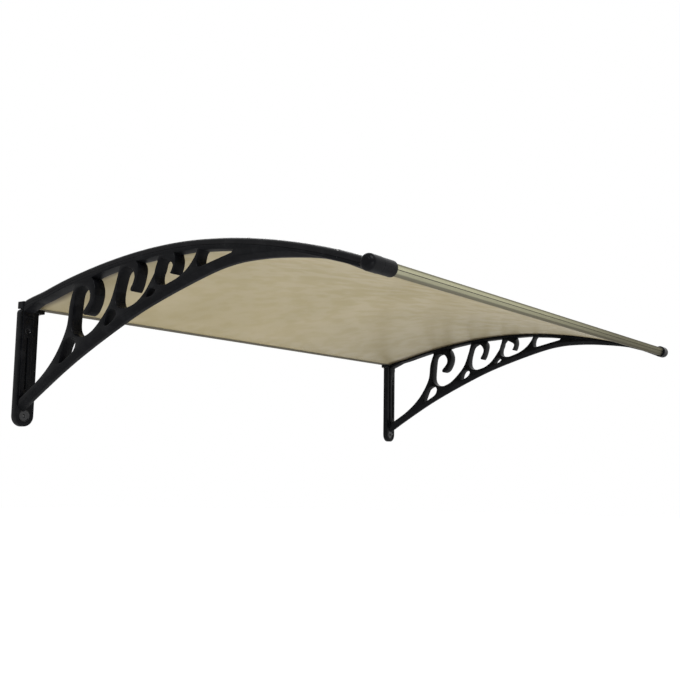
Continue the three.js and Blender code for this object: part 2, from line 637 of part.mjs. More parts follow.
// Rear bar: flat back on the wall, slot for the sheet at the front, pegged ends, bored from below
function rearBar() {
  const end = HALF_SPACING + REAR_OVERHANG;
  const low = REAR_LOW;
  const high = REAR_LOW + REAR_TALL;
  const section = polygon([[0, low], [REAR_DEPTH - REAR_LOWER_BEVEL, low], [REAR_DEPTH, low + REAR_LOWER_BEVEL],
    [REAR_DEPTH, high - REAR_UPPER_BEVEL], [REAR_DEPTH - REAR_UPPER_BEVEL, high], [0, high]]);
  let body = solid(acrossX(section, -end, end));
  body = body.subtract(barSlot(SHEET_WALL_REACH - SEAT_GAP, REAR_DEPTH + BORE_OVERRUN));
  body = body.subtract(solid(seatScrewBore())).subtract(solid(mirrored(seatScrewBore())));
  const bore = rod(PEG_RADIUS + SEAT_GAP, PEG_LENGTH + BORE_OVERRUN).rotateZ(-Math.PI / 2);
  bore.translate(end - PEG_LENGTH - SEAT_GAP, -PEG_REACH, ZERO_HEIGHT);
  return surface(body.subtract(solid(bore)).subtract(solid(mirrored(bore))));
}

// Rounded cap on the end of the rear bar, with a peg into it
function rearEndCap() {
  const inner = HALF_SPACING + REAR_OVERHANG + SEAT_GAP;
  const low = SEAT_GAP;
  const high = REAR_LOW + REAR_TALL + END_CAP_RISE;
  const r = END_CAP_ROUNDING;
  const outline = polygon([[r, low + r], [REAR_DEPTH - r, low + r], [REAR_DEPTH - r, high - r], [r, high - r]]);
  const settings = { depth: END_CAP_LENGTH - 2 * r, bevelSize: r, bevelThickness: r, bevelSegments: 3 };
  const block = new THREE.ExtrudeGeometry(outline, settings);
  reshape(block, (reach, height, along) => [inner + END_CAP_LENGTH - r - along, -reach, height]);
  const peg = rod(PEG_RADIUS, PEG_LENGTH + 1).rotateZ(-Math.PI / 2);
  peg.translate(inner - PEG_LENGTH, -PEG_REACH, ZERO_HEIGHT);
  return surface(solid(block).add(solid(peg)));
}

// Sleeve round the front bar beside the left boss, drawn on the right and mirrored
function barSleeve() {
  const outer = HALF_SPACING - HALF_WEB - SEAT_GAP;
  const inner = outer - SLEEVE_LENGTH;
  const tube = aroundBar([
    [0, inner], [SLEEVE_RADIUS - SLEEVE_BEVEL, inner], [SLEEVE_RADIUS, inner + SLEEVE_BEVEL],
    [SLEEVE_RADIUS, outer - SLEEVE_EDGE], [SLEEVE_RADIUS - SLEEVE_EDGE, outer], [0, outer],
  ]);
  const passage = solid(tiltedBar(barSection(SEAT_GAP, false), inner - 1, outer + 1));
  return surface(solid(tube).subtract(passage).subtract(frontBarSlot()));
}

// Materials
function material(color, roughness, metalness) {
  return new THREE.MeshStandardMaterial({ color, roughness, metalness });
}

const blackPlastic = () => material(0x15171a, 0.28, 0);
const coverPlastic = () => material(0x17191c, 0.34, 0);
const aluminium = () => material(0xb4b6aa, 0.38, 0.9);
const smokedSheet = () => material(0xb3a682, 0.45, 0);
const rubber = () => material(0x1d1c1a, 0.85, 0);
const screwSteel = () => material(0x8d9093, 0.35, 0.95);

const group = new THREE.Group();
group.name = 'door_canopy';

function add(name, geometry, look) {
  const placed = geometry.clone().translate(0, 0, -ZERO_HEIGHT);
  placed.deleteAttribute('uv');
  const mesh = new THREE.Mesh(toCreasedNormals(placed, Math.PI / 6), look);
  mesh.name = name;
  group.add(mesh);
}

// A right-hand piece and its mirror image on the left
function addPair(name, geometry, look) {
  add(`left_${name}`, mirrored(geometry), look());
  add(`right_${name}`, geometry, look());
}

addPair('bracket', bracket(), blackPlastic);
addPair('cover_strip', coverStrip(), coverPlastic);
addPair('edge_seal', edgeSeal(), rubber);
addPair('rear_end_cap', rearEndCap(), blackPlastic);
addPair('seat_screw', seatScrew(), screwSteel);
coverScrewReaches().forEach((reach, i) => addPair(`cover_screw_${i + 1}`, coverScrew(reach), screwSteel));
add('roof_sheet', roofSheet(), smokedSheet());
add('front_bar', frontBar(), aluminium());
add('front_bar_seal', barSeal(SHEET_FRONT_REACH - BAR_SEAL_DEPTH, SHEET_FRONT_REACH), rubber());
add('front_bar_sleeve', mirrored(barSleeve()), blackPlastic());
add('rear_bar', rearBar(), aluminium());
add('rear_bar_seal', barSeal(SHEET_WALL_REACH, SHEET_WALL_REACH + BAR_SEAL_DEPTH), rubber());

export default group;
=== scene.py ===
# %% [markdown]
# # Door canopy
# A small arched roof that hangs over a front door: two black moulded wall brackets with scrollwork, a
# tan translucent sheet bent over them, a domed cover strip on each side edge, an aluminium bar along the
# front edge and a slimmer one along the wall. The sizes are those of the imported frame. This lesson
# replaces the frame's roof, cover strips, front bar and brackets by finer surfaces and gives each
# piece its finish.

import math

import bmesh
import bpy
import numpy as np
from mathutils import Matrix, Vector


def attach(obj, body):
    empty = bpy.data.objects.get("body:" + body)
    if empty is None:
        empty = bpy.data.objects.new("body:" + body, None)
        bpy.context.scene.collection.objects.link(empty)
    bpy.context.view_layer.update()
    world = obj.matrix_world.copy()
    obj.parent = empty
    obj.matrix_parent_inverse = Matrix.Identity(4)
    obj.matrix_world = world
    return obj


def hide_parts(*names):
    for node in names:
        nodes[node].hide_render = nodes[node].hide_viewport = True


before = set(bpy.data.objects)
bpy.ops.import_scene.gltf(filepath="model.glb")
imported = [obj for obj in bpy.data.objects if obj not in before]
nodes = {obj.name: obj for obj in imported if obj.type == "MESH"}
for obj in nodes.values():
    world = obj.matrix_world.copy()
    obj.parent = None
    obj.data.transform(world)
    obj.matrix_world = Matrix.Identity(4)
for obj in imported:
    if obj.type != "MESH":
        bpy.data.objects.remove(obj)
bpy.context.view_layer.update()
print("frame pieces:", len(nodes))

# %% [markdown]
# ## Sizes
# Everything hangs on one arc: the top of both bracket rails is part of a circle, and the sheet, the
# strips and the slot in the front bar follow it. Near the wall, rails, sheet and strips hang a few
# millimetres under the circle. Lengths are metres, reach is measured out from the wall, and the zero
# height is the middle of the rear bar.

# %% Sizes of the arc and the pieces on it
MM = 0.001
BRACKET_X = 0.6
HALF_WEB = 11.8 * MM
SEAT_GAP = 0.3 * MM
ZERO_DROP = 6.85 * MM
BAR_REACH = 771.3 * MM
APEX_HEIGHT = 64 * MM - ZERO_DROP
WALL_DROP = 65.5 * MM
FRONT_DROP = 69.45 * MM
APEX_REACH = BAR_REACH * math.sqrt(WALL_DROP) / (math.sqrt(WALL_DROP) + math.sqrt(FRONT_DROP))
ARC_RADIUS = (APEX_REACH ** 2 + WALL_DROP ** 2) / (2 * WALL_DROP)
WALL_SAG = 4.3 * MM
SAG_GROWS = (18 * MM, 78 * MM)
SAG_FADES = (170 * MM, 450 * MM)
SHEET_THICKNESS = 3 * MM
SHEET_WALL = 10.5 * MM
SHEET_FRONT = BAR_REACH - 1.9 * MM
COVER_WALL = 16.1 * MM
COVER_FRONT = BAR_REACH - 13 * MM
print("arc radius", round(ARC_RADIUS, 4), "apex at reach", round(APEX_REACH, 4))


# %% Points on the arc
def arc_length(reach):
    """Arc length from the apex: the radius times the angle whose sine is the reach past the apex over
    the radius."""
    return ARC_RADIUS * np.arcsin((reach - APEX_REACH) / ARC_RADIUS)


def eased(value, limits):
    """Zero before the first limit, one past the second, and three t squared less two t cubed between them."""
    t = np.clip((value - limits[0]) / (limits[1] - limits[0]), 0, 1)
    return t * t * (3 - 2 * t)


def on_arc(x, length, lift):
    """A point lifted above the arc: out from the centre by radius plus lift, at the angle length over radius.
    Near the wall it hangs lower by the sag, which grows over one span of reach and fades over another."""
    angle = length / ARC_RADIUS
    foot = APEX_REACH + ARC_RADIUS * np.sin(angle)
    sag = WALL_SAG * (eased(foot, SAG_GROWS) - eased(foot, SAG_FADES))
    reach = APEX_REACH + (ARC_RADIUS + lift) * np.sin(angle)
    height = APEX_HEIGHT - ARC_RADIUS + (ARC_RADIUS + lift) * np.cos(angle) - sag
    return np.stack(np.broadcast_arrays(x, -reach, height), axis=-1)


# %% [markdown]
# ## From arrays to pieces
# A swept piece is a closed outline repeated at many stations: a grid of points, one row a station.
# Neighbouring rows make a wall of four-sided faces, and the first and the last row each become one
# many-sided face. Working in whole arrays keeps a fine mesh fast.

# %% Mesh helpers
def make_piece(name, points, faces, material, smooth_angle=40):
    """Puts arrays of points and faces into a mesh object at the origin."""
    mesh = bpy.data.meshes.new(name)
    mesh.from_pydata(points.tolist(), [], faces)
    mesh.validate()
    mesh.polygons.foreach_set("use_smooth", [True] * len(mesh.polygons))
    mesh.set_sharp_from_angle(angle=math.radians(smooth_angle))
    mesh.materials.append(material)
    piece = bpy.data.objects.new(name, mesh)
    bpy.context.scene.collection.objects.link(piece)
    print(name, len(mesh.polygons), "faces")
    return piece


def swept(rows):
    """Faces of a closed tube: row i, column j joins row i+1 and column j+1, and each end is one face."""
    count, width = rows.shape[:2]
    points = rows.reshape(-1, 3)
    i, j = np.meshgrid(np.arange(count - 1), np.arange(width), indexing="ij")
    k = (j + 1) % width
    walls = np.stack([i * width + j, i * width + k, (i + 1) * width + k, (i + 1) * width + j], axis=-1)
    faces = walls.reshape(-1, 4).tolist()
    first = list(range(width))[::-1]
    last = [(count - 1) * width + n for n in range(width)]
    return points, faces + [first, last]


def full_turn(steps):
    """Angles at equal steps once round, without the last one, which would repeat the first."""
    return np.linspace(0, 2 * math.pi, steps, endpoint=False)


def outward(piece):
    """Joins points in the same place and turns every face of a closed piece to point outwards."""
    work = bmesh.new()
    work.from_mesh(piece.data)
    bmesh.ops.remove_doubles(work, verts=work.verts, dist=1e-6)
    bmesh.ops.recalc_face_normals(work, faces=work.faces)
    work.to_mesh(piece.data)
    work.free()
    return piece


def rounded(corners, radii, steps=5):
    """Closed outline with each corner rounded: a quadratic curve from a radius before the corner to a
    radius after it."""
    corners = np.array(corners, float)
    radii = np.broadcast_to(np.asarray(radii, float), len(corners))
    outline = []
    for n, corner in enumerate(corners):
        before = corners[n - 1] - corner
        after = corners[(n + 1) % len(corners)] - corner
        start = corner + before / np.linalg.norm(before) * radii[n]
        end = corner + after / np.linalg.norm(after) * radii[n]
        t = np.linspace(0, 1, steps + 1)[:, None]
        outline.append((1 - t) ** 2 * start + 2 * t * (1 - t) * corner + t ** 2 * end)
    return np.concatenate(outline)


# %% [markdown]
# ## Shared effects
# Three effects return on several materials, so each is a node group that is built once. Grain is a
# fine uneven surface for the bump. Wear marks where rubbing has paled a surface. Streaks are long
# thin lines along the bar, as an extrusion die leaves them.

# %% Node group helpers
def new_group(name, inputs, outputs):
    """An empty shader group with number inputs and number outputs."""
    group = bpy.data.node_groups.new(name, "ShaderNodeTree")
    for label, default in inputs:
        socket = group.interface.new_socket(label, in_out="INPUT", socket_type="NodeSocketFloat")
        socket.default_value = default
    for label in outputs:
        group.interface.new_socket(label, in_out="OUTPUT", socket_type="NodeSocketFloat")
    return group, group.nodes.new("NodeGroupInput"), group.nodes.new("NodeGroupOutput")


def noise(tree, scale, detail=4, roughness=0.55, stretch=(1, 1, 1)):
    """Noise read from Object coordinates, with the coordinates stretched along each axis."""
    place = tree.nodes.new("ShaderNodeTexCoord")
    mapping = tree.nodes.new("ShaderNodeMapping")
    texture = tree.nodes.new("ShaderNodeTexNoise")
    mapping.inputs["Scale"].default_value = stretch
    texture.inputs["Scale"].default_value = scale
    texture.inputs["Detail"].default_value = detail
    texture.inputs["Roughness"].default_value = roughness
    tree.links.new(place.outputs["Object"], mapping.inputs["Vector"])
    tree.links.new(mapping.outputs["Vector"], texture.inputs["Vector"])
    return texture.outputs["Fac"]


def window(tree, value, low, high, new_low=0.0, new_high=1.0):
    """A value spread between two limits and carried smoothly to two new ones."""
    node = tree.nodes.new("ShaderNodeMapRange")
    node.interpolation_type = "SMOOTHSTEP"
    for label, number in (("From Min", low), ("From Max", high), ("To Min", new_low), ("To Max", new_high)):
        node.inputs[label].default_value = number
    tree.links.new(value, node.inputs["Value"])
    return node.outputs["Result"]


def combine(tree, operation, first, second):
    """Two values, or a value and a number, put together by one operation."""
    node = tree.nodes.new("ShaderNodeMath")
    node.operation = operation
    for socket, item in zip(node.inputs, (first, second)):
        if isinstance(item, (int, float)):
            socket.default_value = item
        else:
            tree.links.new(item, socket)
    return node.outputs[0]


# %% Grain, wear and streaks
def grain_group():
    """Fine moulded grain: two noises, the finer one at half the height."""
    group, given, result = new_group("surface grain", [("Fineness", 1.0)], ["Height"])
    coarse = noise(group, 260, 3)
    fine = noise(group, 900, 2)
    height = combine(group, "ADD", coarse, combine(group, "MULTIPLY", fine, 0.5))
    scaled = combine(group, "MULTIPLY", height, given.outputs["Fineness"])
    group.links.new(scaled, result.inputs["Height"])
    return group


def wear_group():
    """Pale rubbed marks: a broad patch noise times a fine scratch noise, cut to their peaks."""
    group, given, result = new_group("rubbed marks", [("Amount", 1.0)], ["Mask"])
    patches = window(group, noise(group, 9, 4), 0.5, 0.72)
    scratches = window(group, noise(group, 160, 5, 0.7, (1, 1, 3)), 0.52, 0.7)
    mask = combine(group, "MULTIPLY", patches, scratches)
    group.links.new(combine(group, "MULTIPLY", mask, given.outputs["Amount"]), result.inputs["Mask"])
    return group


def streak_group():
    """Extrusion lines along the wall: noise stretched fifty times along X."""
    group, given, result = new_group("extrusion streaks", [("Amount", 1.0)], ["Streak"])
    lines = noise(group, 900, 3, 0.6, (0.02, 1, 1))
    broad = noise(group, 180, 3, 0.6, (0.02, 1, 1))
    lines = combine(group, "MULTIPLY", lines, 0.6)
    broad = combine(group, "MULTIPLY", broad, 0.4)
    both = combine(group, "ADD", lines, broad)
    group.links.new(combine(group, "MULTIPLY", both, given.outputs["Amount"]), result.inputs["Streak"])
    return group


GRAIN = grain_group()
WEAR = wear_group()
STREAKS = streak_group()
print("shared effects:", GRAIN.name, WEAR.name, STREAKS.name)


# %% Material helpers
def new_material(name, roughness, metallic=0.0, specular=0.5):
    """A material with one Principled shader whose constants sit on its own sockets."""
    material = bpy.data.materials.new(name)
    material.use_nodes = True
    tree = material.node_tree
    shader = tree.nodes["Principled BSDF"]
    shader.inputs["Roughness"].default_value = roughness
    shader.inputs["Metallic"].default_value = metallic
    shader.inputs["Specular IOR Level"].default_value = specular
    return material, tree, shader


def effect(tree, group, label, amount):
    """One shared effect placed in a material with its own amount."""
    node = tree.nodes.new("ShaderNodeGroup")
    node.node_tree = group
    node.inputs[0].default_value = amount
    return node.outputs[label]


def blended(tree, factor, first, second):
    """A colour between two colours or colour sockets."""
    node = tree.nodes.new("ShaderNodeMix")
    node.data_type = "RGBA"
    tree.links.new(factor, node.inputs[0])
    for socket, item in ((node.inputs[6], first), (node.inputs[7], second)):
        if isinstance(item, tuple):
            socket.default_value = (*item, 1)
        else:
            tree.links.new(item, socket)
    return node.outputs[2]


def bumped(tree, shader, height, distance, strength=1.0, edge=0.0):
    """A height into the shader's normal, over edges that look rounded by the given radius."""
    bump = tree.nodes.new("ShaderNodeBump")
    bump.inputs["Distance"].default_value = distance
    bump.inputs["Strength"].default_value = strength
    tree.links.new(height, bump.inputs["Height"])
    if edge:
        bevel = tree.nodes.new("ShaderNodeBevel")
        bevel.samples = 6
        bevel.inputs["Radius"].default_value = edge
        tree.links.new(bevel.outputs["Normal"], bump.inputs["Normal"])
    tree.links.new(bump.outputs["Normal"], shader.inputs["Normal"])


def object_x(tree):
    """The distance along X from the middle of the frame."""
    place = tree.nodes.new("ShaderNodeTexCoord")
    split = tree.nodes.new("ShaderNodeSeparateXYZ")
    tree.links.new(place.outputs["Object"], split.inputs[0])
    return split.outputs["X"]


DOWN_STARTS = 0.05
DOWN_FULL = -0.75


def facing_down(tree):
    """One where a face looks down and zero where it looks up, from the height of its normal."""
    shape = tree.nodes.new("ShaderNodeNewGeometry")
    split = tree.nodes.new("ShaderNodeSeparateXYZ")
    tree.links.new(shape.outputs["Normal"], split.inputs[0])
    return window(tree, split.outputs["Z"], DOWN_STARTS, DOWN_FULL)


# %% [markdown]
# ## Black moulding
# The brackets, strips, sleeve and end caps are black plastic with a satin skin. In the photograph the
# skin is never one even black: broad cloudy patches are duller, and rubbed spots are a little greyer.
# Noise on the roughness gives the clouds. Faces that look down would mirror the white floor, so they
# are rougher. The brackets and strips have their soft edges in the mesh, so of the black pieces only
# the caps and the sleeve get a shading bevel. The bushes round the screw holes are a little glossier.

# %% Black moulding material
PALE_GAIN, PALE_LIFT = 2.5, 0.008
DUSTY_GAIN, DUSTY_LIFT = 1.6, 0.003
RUBBED_AMOUNT = 0.55
ROUGHER_BELOW = 0.4
GRAIN_HEIGHT = 0.00006
MOULDING_BLACK = (0.0036, 0.0038, 0.0046)
BUSH_BLACK = (0.006, 0.006, 0.007)
STRIP_BLACK = (0.0048, 0.0048, 0.0055)


def black_moulding(name, base, roughness, edge, specular):
    """The base colour, mixed with a dusty tint by fine noise and with a pale tint by the rubbed marks.
    The roughness is the given one shifted by cloud noise, plus more where a face looks down."""
    material, tree, shader = new_material(name, roughness, specular=specular)
    clouds = noise(tree, 14, 5)
    dust = window(tree, noise(tree, 42, 6, 0.65), 0.45, 0.75)
    pale = tuple(c * PALE_GAIN + PALE_LIFT for c in base)
    dusty = tuple(c * DUSTY_GAIN + DUSTY_LIFT for c in base)
    colour = blended(tree, dust, base, dusty)
    colour = blended(tree, effect(tree, WEAR, "Mask", RUBBED_AMOUNT), colour, pale)
    tree.links.new(colour, shader.inputs["Base Color"])
    dull = window(tree, clouds, 0.3, 0.75, roughness - 0.06, roughness + 0.1)
    below = combine(tree, "MULTIPLY", facing_down(tree), ROUGHER_BELOW)
    tree.links.new(combine(tree, "ADD", dull, below), shader.inputs["Roughness"])
    bumped(tree, shader, effect(tree, GRAIN, "Height", 1.0), GRAIN_HEIGHT, edge=edge)
    return material


bracket_black = black_moulding("bracket black", MOULDING_BLACK, roughness=0.2, edge=0.0, specular=0.055)
cap_black = black_moulding("cap black", MOULDING_BLACK, roughness=0.22, edge=0.0007, specular=0.055)
bush_black = black_moulding("bush black", BUSH_BLACK, roughness=0.16, edge=0.0, specular=0.45)
strip_black = black_moulding("strip black", STRIP_BLACK, roughness=0.28, edge=0.0, specular=0.075)
print("black finishes:", bracket_black.name, strip_black.name)

# %% [markdown]
# ## Tan sheet
# The roof is a tinted plastic sheet. From below it glows softly, a little cloudy, and a brown band
# runs along each side, where the cover strip above keeps some daylight out; that band is painted shade.
# The band is a colour that follows the distance from the bracket, so it stays on the sheet in every
# view. The photograph's sheet also gets darker and greyer to the right, so a painted shade, darker
# and greyer, grows along X. A see-through shader could do this with light, but a colour is quicker to
# render and the same in every view.

# %% Tan sheet material
SHADE_INNER = BRACKET_X - 40 * MM
SHADE_OUTER = BRACKET_X - 18 * MM
SHADE_STRENGTH = 0.88
SHADE_WANDER = 0.016
# Painted shade: the sheet is made darker and greyer towards the right along X.
SHEET_RIGHT_SHADE_FROM, SHEET_RIGHT_SHADE_TO = -0.1, 0.5
SHEET_RIGHT_SHADE_STRENGTH = 0.4
BLOTCH_STRENGTH = 0.07
TAN_DARK, TAN_LIGHT = (0.415, 0.35, 0.2), (0.465, 0.395, 0.24)
BLOTCH_TAN = (0.35, 0.3, 0.19)
SHEET_RIGHT_SHADE_TAN = (0.29, 0.265, 0.2)
SHADE_BROWN = (0.075, 0.055, 0.03)


def tan_sheet():
    """Two tans mixed by cloud noise, then blotches by finer noise, then a painted shade that grows darker
    and greyer towards the right by X, then the brown painted shade band by the distance from the middle,
    to which a little noise is added."""
    material, tree, shader = new_material("tan sheet", 0.5, specular=0.04)
    x = object_x(tree)
    side = combine(tree, "ABSOLUTE", x, 0.0)
    wander = combine(tree, "MULTIPLY", combine(tree, "SUBTRACT", noise(tree, 6, 3), 0.5), SHADE_WANDER)
    band = window(tree, combine(tree, "ADD", side, wander), SHADE_INNER, SHADE_OUTER)
    clouds = window(tree, noise(tree, 5, 4, 0.5), 0.3, 0.7)
    blotches = window(tree, noise(tree, 26, 4, 0.5), 0.35, 0.7)
    colour = blended(tree, clouds, TAN_DARK, TAN_LIGHT)
    colour = blended(tree, combine(tree, "MULTIPLY", blotches, BLOTCH_STRENGTH), colour, BLOTCH_TAN)
    # painted shade: the sheet darker and greyer towards the right
    dull = window(tree, x, SHEET_RIGHT_SHADE_FROM, SHEET_RIGHT_SHADE_TO, 0.0, SHEET_RIGHT_SHADE_STRENGTH)
    colour = blended(tree, dull, colour, SHEET_RIGHT_SHADE_TAN)
    colour = blended(tree, combine(tree, "MULTIPLY", band, SHADE_STRENGTH), colour, SHADE_BROWN)
    tree.links.new(colour, shader.inputs["Base Color"])
    tree.links.new(window(tree, blotches, 0.0, 1.0, 0.36, 0.52), shader.inputs["Roughness"])
    bumped(tree, shader, noise(tree, 60, 2), 0.00002, 0.3)
    return material


sheet_tan = tan_sheet()
print("sheet finish:", sheet_tan.name)

# %% [markdown]
# ## Aluminium, steel and rubber
# The bars are drawn aluminium with a faint warm tone: long fine streaks change the gloss. The front
# bar has painted shade: a darker foot, crown and lower face, a darker groove and a darkening that grows
# to the right, as in the photograph. The rear bar has painted shade where it looks down. The screws
# are plated steel, and the seals are dull rubber with a little dust. A picture could carry such marks,
# but noise needs no picture and stays sharp at any distance.

# %% Bar, screw and seal materials
# Painted shade on the front bar: darker bands of its section, a darker groove, and a darkening that grows to
# the right.
FOOT_FADES = (-5.5 * MM, -1.2 * MM)
CROWN_GROWS = (6.2 * MM, 7.8 * MM)
LOWER_FACE_FADES = (0.8 * MM, 2.8 * MM)
BAR_RIGHT_SHADE_GROWS = (-0.35, 0.45)
BAR_RIGHT_SHADE_STRENGTH = 0.7


def section_mark(tree, label):
    """A number that the bar's mesh carries at each point of its section."""
    node = tree.nodes.new("ShaderNodeAttribute")
    node.attribute_name = label
    return node.outputs["Fac"]


def painted_shade_bands(tree, colour, shade_colour):
    """Painted shade: a darker foot, crown and lower face of the section, a darker face groove, and a
    darkening that grows to the right.
    """
    rise = section_mark(tree, "rise")
    foot = window(tree, rise, *FOOT_FADES, 0.8, 0.0)
    crown = window(tree, rise, *CROWN_GROWS, 0.0, 0.6)
    below = window(tree, rise, *LOWER_FACE_FADES, 0.3, 0.0)
    shade = combine(tree, "MAXIMUM", combine(tree, "MAXIMUM", foot, crown), below)
    # painted shade on the foot, crown, lower face and in the groove
    colour = blended(tree, combine(tree, "MAXIMUM", shade, section_mark(tree, "groove")), colour, shade_colour)
    # painted shade: the bar darker towards the right along X
    tarnish_and_shade = window(tree, object_x(tree), *BAR_RIGHT_SHADE_GROWS, 0.0, BAR_RIGHT_SHADE_STRENGTH)
    return blended(tree, tarnish_and_shade, colour, shade_colour)


def bar_aluminium(name, base, shade_colour, roughness, banded):
    """Metal whose base colour is dulled by noise and whose roughness follows the streaks. Painted shade
    comes from the bands of the section where they are asked for, else from how far a face looks down."""
    material, tree, shader = new_material(name, roughness, metallic=0.85, specular=0.2)
    shader.inputs["Specular Tint"].default_value = (0.42, 0.4, 0.35, 1)
    streak = effect(tree, STREAKS, "Streak", 1.0)
    tarnish_and_shade = window(tree, noise(tree, 22, 5, 0.6, (0.25, 1, 1)), 0.42, 0.72)
    dull = tuple(c * 0.72 for c in base)
    colour = blended(tree, combine(tree, "MULTIPLY", tarnish_and_shade, 0.5), base, dull)
    # painted shade, from the section's bands or from faces that look down
    if banded:
        colour = painted_shade_bands(tree, colour, shade_colour)
    else:
        # painted shade: darker where a face looks down
        colour = blended(tree, facing_down(tree), colour, shade_colour)
    tree.links.new(colour, shader.inputs["Base Color"])
    gloss = window(tree, streak, 0.3, 0.7, roughness - 0.1, roughness + 0.14)
    tree.links.new(gloss, shader.inputs["Roughness"])
    bumped(tree, shader, streak, 0.00008, 0.6)
    return material


def plated_steel():
    """Metal between two greys by fine noise; the darker grey is also the rougher."""
    material, tree, shader = new_material("plated steel", 0.35, metallic=0.95)
    tint = window(tree, noise(tree, 420, 4), 0.35, 0.7)
    colour = blended(tree, tint, (0.5, 0.5, 0.49), (0.32, 0.31, 0.29))
    tree.links.new(colour, shader.inputs["Base Color"])
    tree.links.new(window(tree, tint, 0.0, 1.0, 0.25, 0.45), shader.inputs["Roughness"])
    bumped(tree, shader, effect(tree, GRAIN, "Height", 0.6), 0.00003, edge=0.0003)
    return material


def seal_rubber():
    """Near black with a paler, rougher dust by fine noise."""
    material, tree, shader = new_material("seal rubber", 0.8)
    dust = window(tree, noise(tree, 180, 5), 0.45, 0.75)
    colour = blended(tree, dust, (0.012, 0.012, 0.011), (0.05, 0.047, 0.042))
    tree.links.new(colour, shader.inputs["Base Color"])
    tree.links.new(window(tree, dust, 0.0, 1.0, 0.7, 0.92), shader.inputs["Roughness"])
    bumped(tree, shader, effect(tree, GRAIN, "Height", 1.5), 0.00008)
    return material


front_metal = bar_aluminium("front bar aluminium", base=(0.46, 0.45, 0.31), shade_colour=(0.075, 0.07, 0.062),
                            roughness=0.34, banded=True)
rear_metal = bar_aluminium("rear bar aluminium", base=(0.22, 0.215, 0.18), shade_colour=(0.08, 0.072, 0.06),
                           roughness=0.42, banded=False)
screw_metal = plated_steel()
rubber = seal_rubber()
print("metal finishes:", front_metal.name, rear_metal.name, screw_metal.name)

# %% [markdown]
# ## The roof sheet
# The real sheet is flat stock that the brackets hold in a bend. It could be a bent plane with a
# thickness modifier, but its cut edges are slightly rounded, so the rounded outline of the sheet's
# cross-section is carried along the arc. Many stations keep the bend smooth.

# %% Roof sheet
SHEET_EDGE = 0.8 * MM
SHEET_COLUMNS = 121
SHEET_EDGE_STEPS = 6
SHEET_STATIONS = 160


def roof_sheet():
    """Rounded thin rectangle across X, with many columns on its wide faces, at stations along the arc."""
    low = SEAT_GAP
    high = SEAT_GAP + SHEET_THICKNESS
    flat_half = BRACKET_X - SHEET_EDGE
    across = np.linspace(-flat_half, flat_half, SHEET_COLUMNS)
    turn = np.linspace(-math.pi / 2, math.pi / 2, SHEET_EDGE_STEPS + 1)[1:-1]
    side_x = flat_half + SHEET_EDGE * np.cos(turn)
    side_lift = (low + high) / 2 + (high - low) / 2 * np.sin(turn)
    x = np.concatenate([across, side_x, across[::-1], -side_x])
    underside = np.full(SHEET_COLUMNS, low)
    topside = np.full(SHEET_COLUMNS, high)
    lift = np.concatenate([underside, side_lift, topside, side_lift[::-1]])
    stations = np.linspace(arc_length(SHEET_WALL), arc_length(SHEET_FRONT), SHEET_STATIONS)
    rows = on_arc(x[None, :], stations[:, None], lift[None, :])
    return make_piece("tan_roof_sheet", *swept(rows), sheet_tan, 60)


sheet = outward(roof_sheet())
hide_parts("roof_sheet")
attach(sheet, "root")

# %% [markdown]
# ## The cover strips
# A domed strip clamps each side edge of the sheet on its rail. Its section is half an ellipse on two
# short upright sides, with a lip that comes down outside the sheet. It could be a curve with the
# section as its bevel, but carrying the section along the arc by formula puts it just where the sheet
# is. The wells for its screws are then drilled square to the arc.

# %% Cover strip section and screw places
COVER_CROWN = 11.6 * MM
COVER_SIDE = 6 * MM
SEAL_THICKNESS = 1.2 * MM
SEAL_TOP = SHEET_THICKNESS + SEAL_THICKNESS + 3 * SEAT_GAP
LIP = 3 * SEAT_GAP
BROKEN_EDGE = 0.5 * MM
DOME_POINTS = 33
SCREW_OFFSET = 6 * MM
SCREW_SEAT = 8.2 * MM
WELL_RADIUS = 3.6 * MM
SCREW_COUNT = 5
FIRST_SCREW = COVER_WALL + 44 * MM
LAST_SCREW = BAR_REACH - 56.3 * MM
screw_reaches = np.linspace(FIRST_SCREW, LAST_SCREW, SCREW_COUNT)
print("cover screws at reach", screw_reaches.round(3))


def cover_section():
    """Half ellipse of the dome between two upright sides, then the rebate for sheet and seal underneath."""
    turn = np.linspace(0, math.pi, DOME_POINTS)
    dome_height = COVER_CROWN - COVER_SIDE
    dome = np.stack([-HALF_WEB * np.cos(turn), COVER_SIDE + dome_height * np.sin(turn)], axis=1)
    lip = [(HALF_WEB, SEAT_GAP + BROKEN_EDGE), (HALF_WEB - BROKEN_EDGE, SEAT_GAP), (LIP, SEAT_GAP)]
    rebate = [(LIP, SEAL_TOP), (-HALF_WEB + BROKEN_EDGE, SEAL_TOP), (-HALF_WEB, SEAL_TOP + BROKEN_EDGE)]
    return np.concatenate([dome, lip, rebate])


# %% Drill for the wells
DRILL_SIDES = 24
DRILL_OVER = 4 * MM


def well_drill(x, reach):
    """Closed rod with flat sides standing square on the arc, from the screw's seat to above the dome."""
    turn = full_turn(DRILL_SIDES)
    across = x + WELL_RADIUS * np.cos(turn)
    along = arc_length(reach) + WELL_RADIUS * np.sin(turn)
    lifts = np.array([SCREW_SEAT, COVER_CROWN + DRILL_OVER])
    rows = on_arc(across[None, :], along[None, :], lifts[:, None])
    return outward(make_piece("drill", *swept(rows), strip_black))


def drilled(piece, drills):
    """Cuts each drill out of the piece and keeps the result as plain mesh."""
    for drill in drills:
        cut = piece.modifiers.new("well", "BOOLEAN")
        cut.operation = "DIFFERENCE"
        cut.solver = "EXACT"
        cut.object = drill
    graph = bpy.context.evaluated_depsgraph_get()
    finished = bpy.data.meshes.new_from_object(piece.evaluated_get(graph))
    piece.modifiers.clear()
    piece.data = finished
    for drill in drills:
        bpy.data.objects.remove(drill)
    return piece


# %% Cover strips
COVER_STATIONS = 110
COVER_CREASE = 50


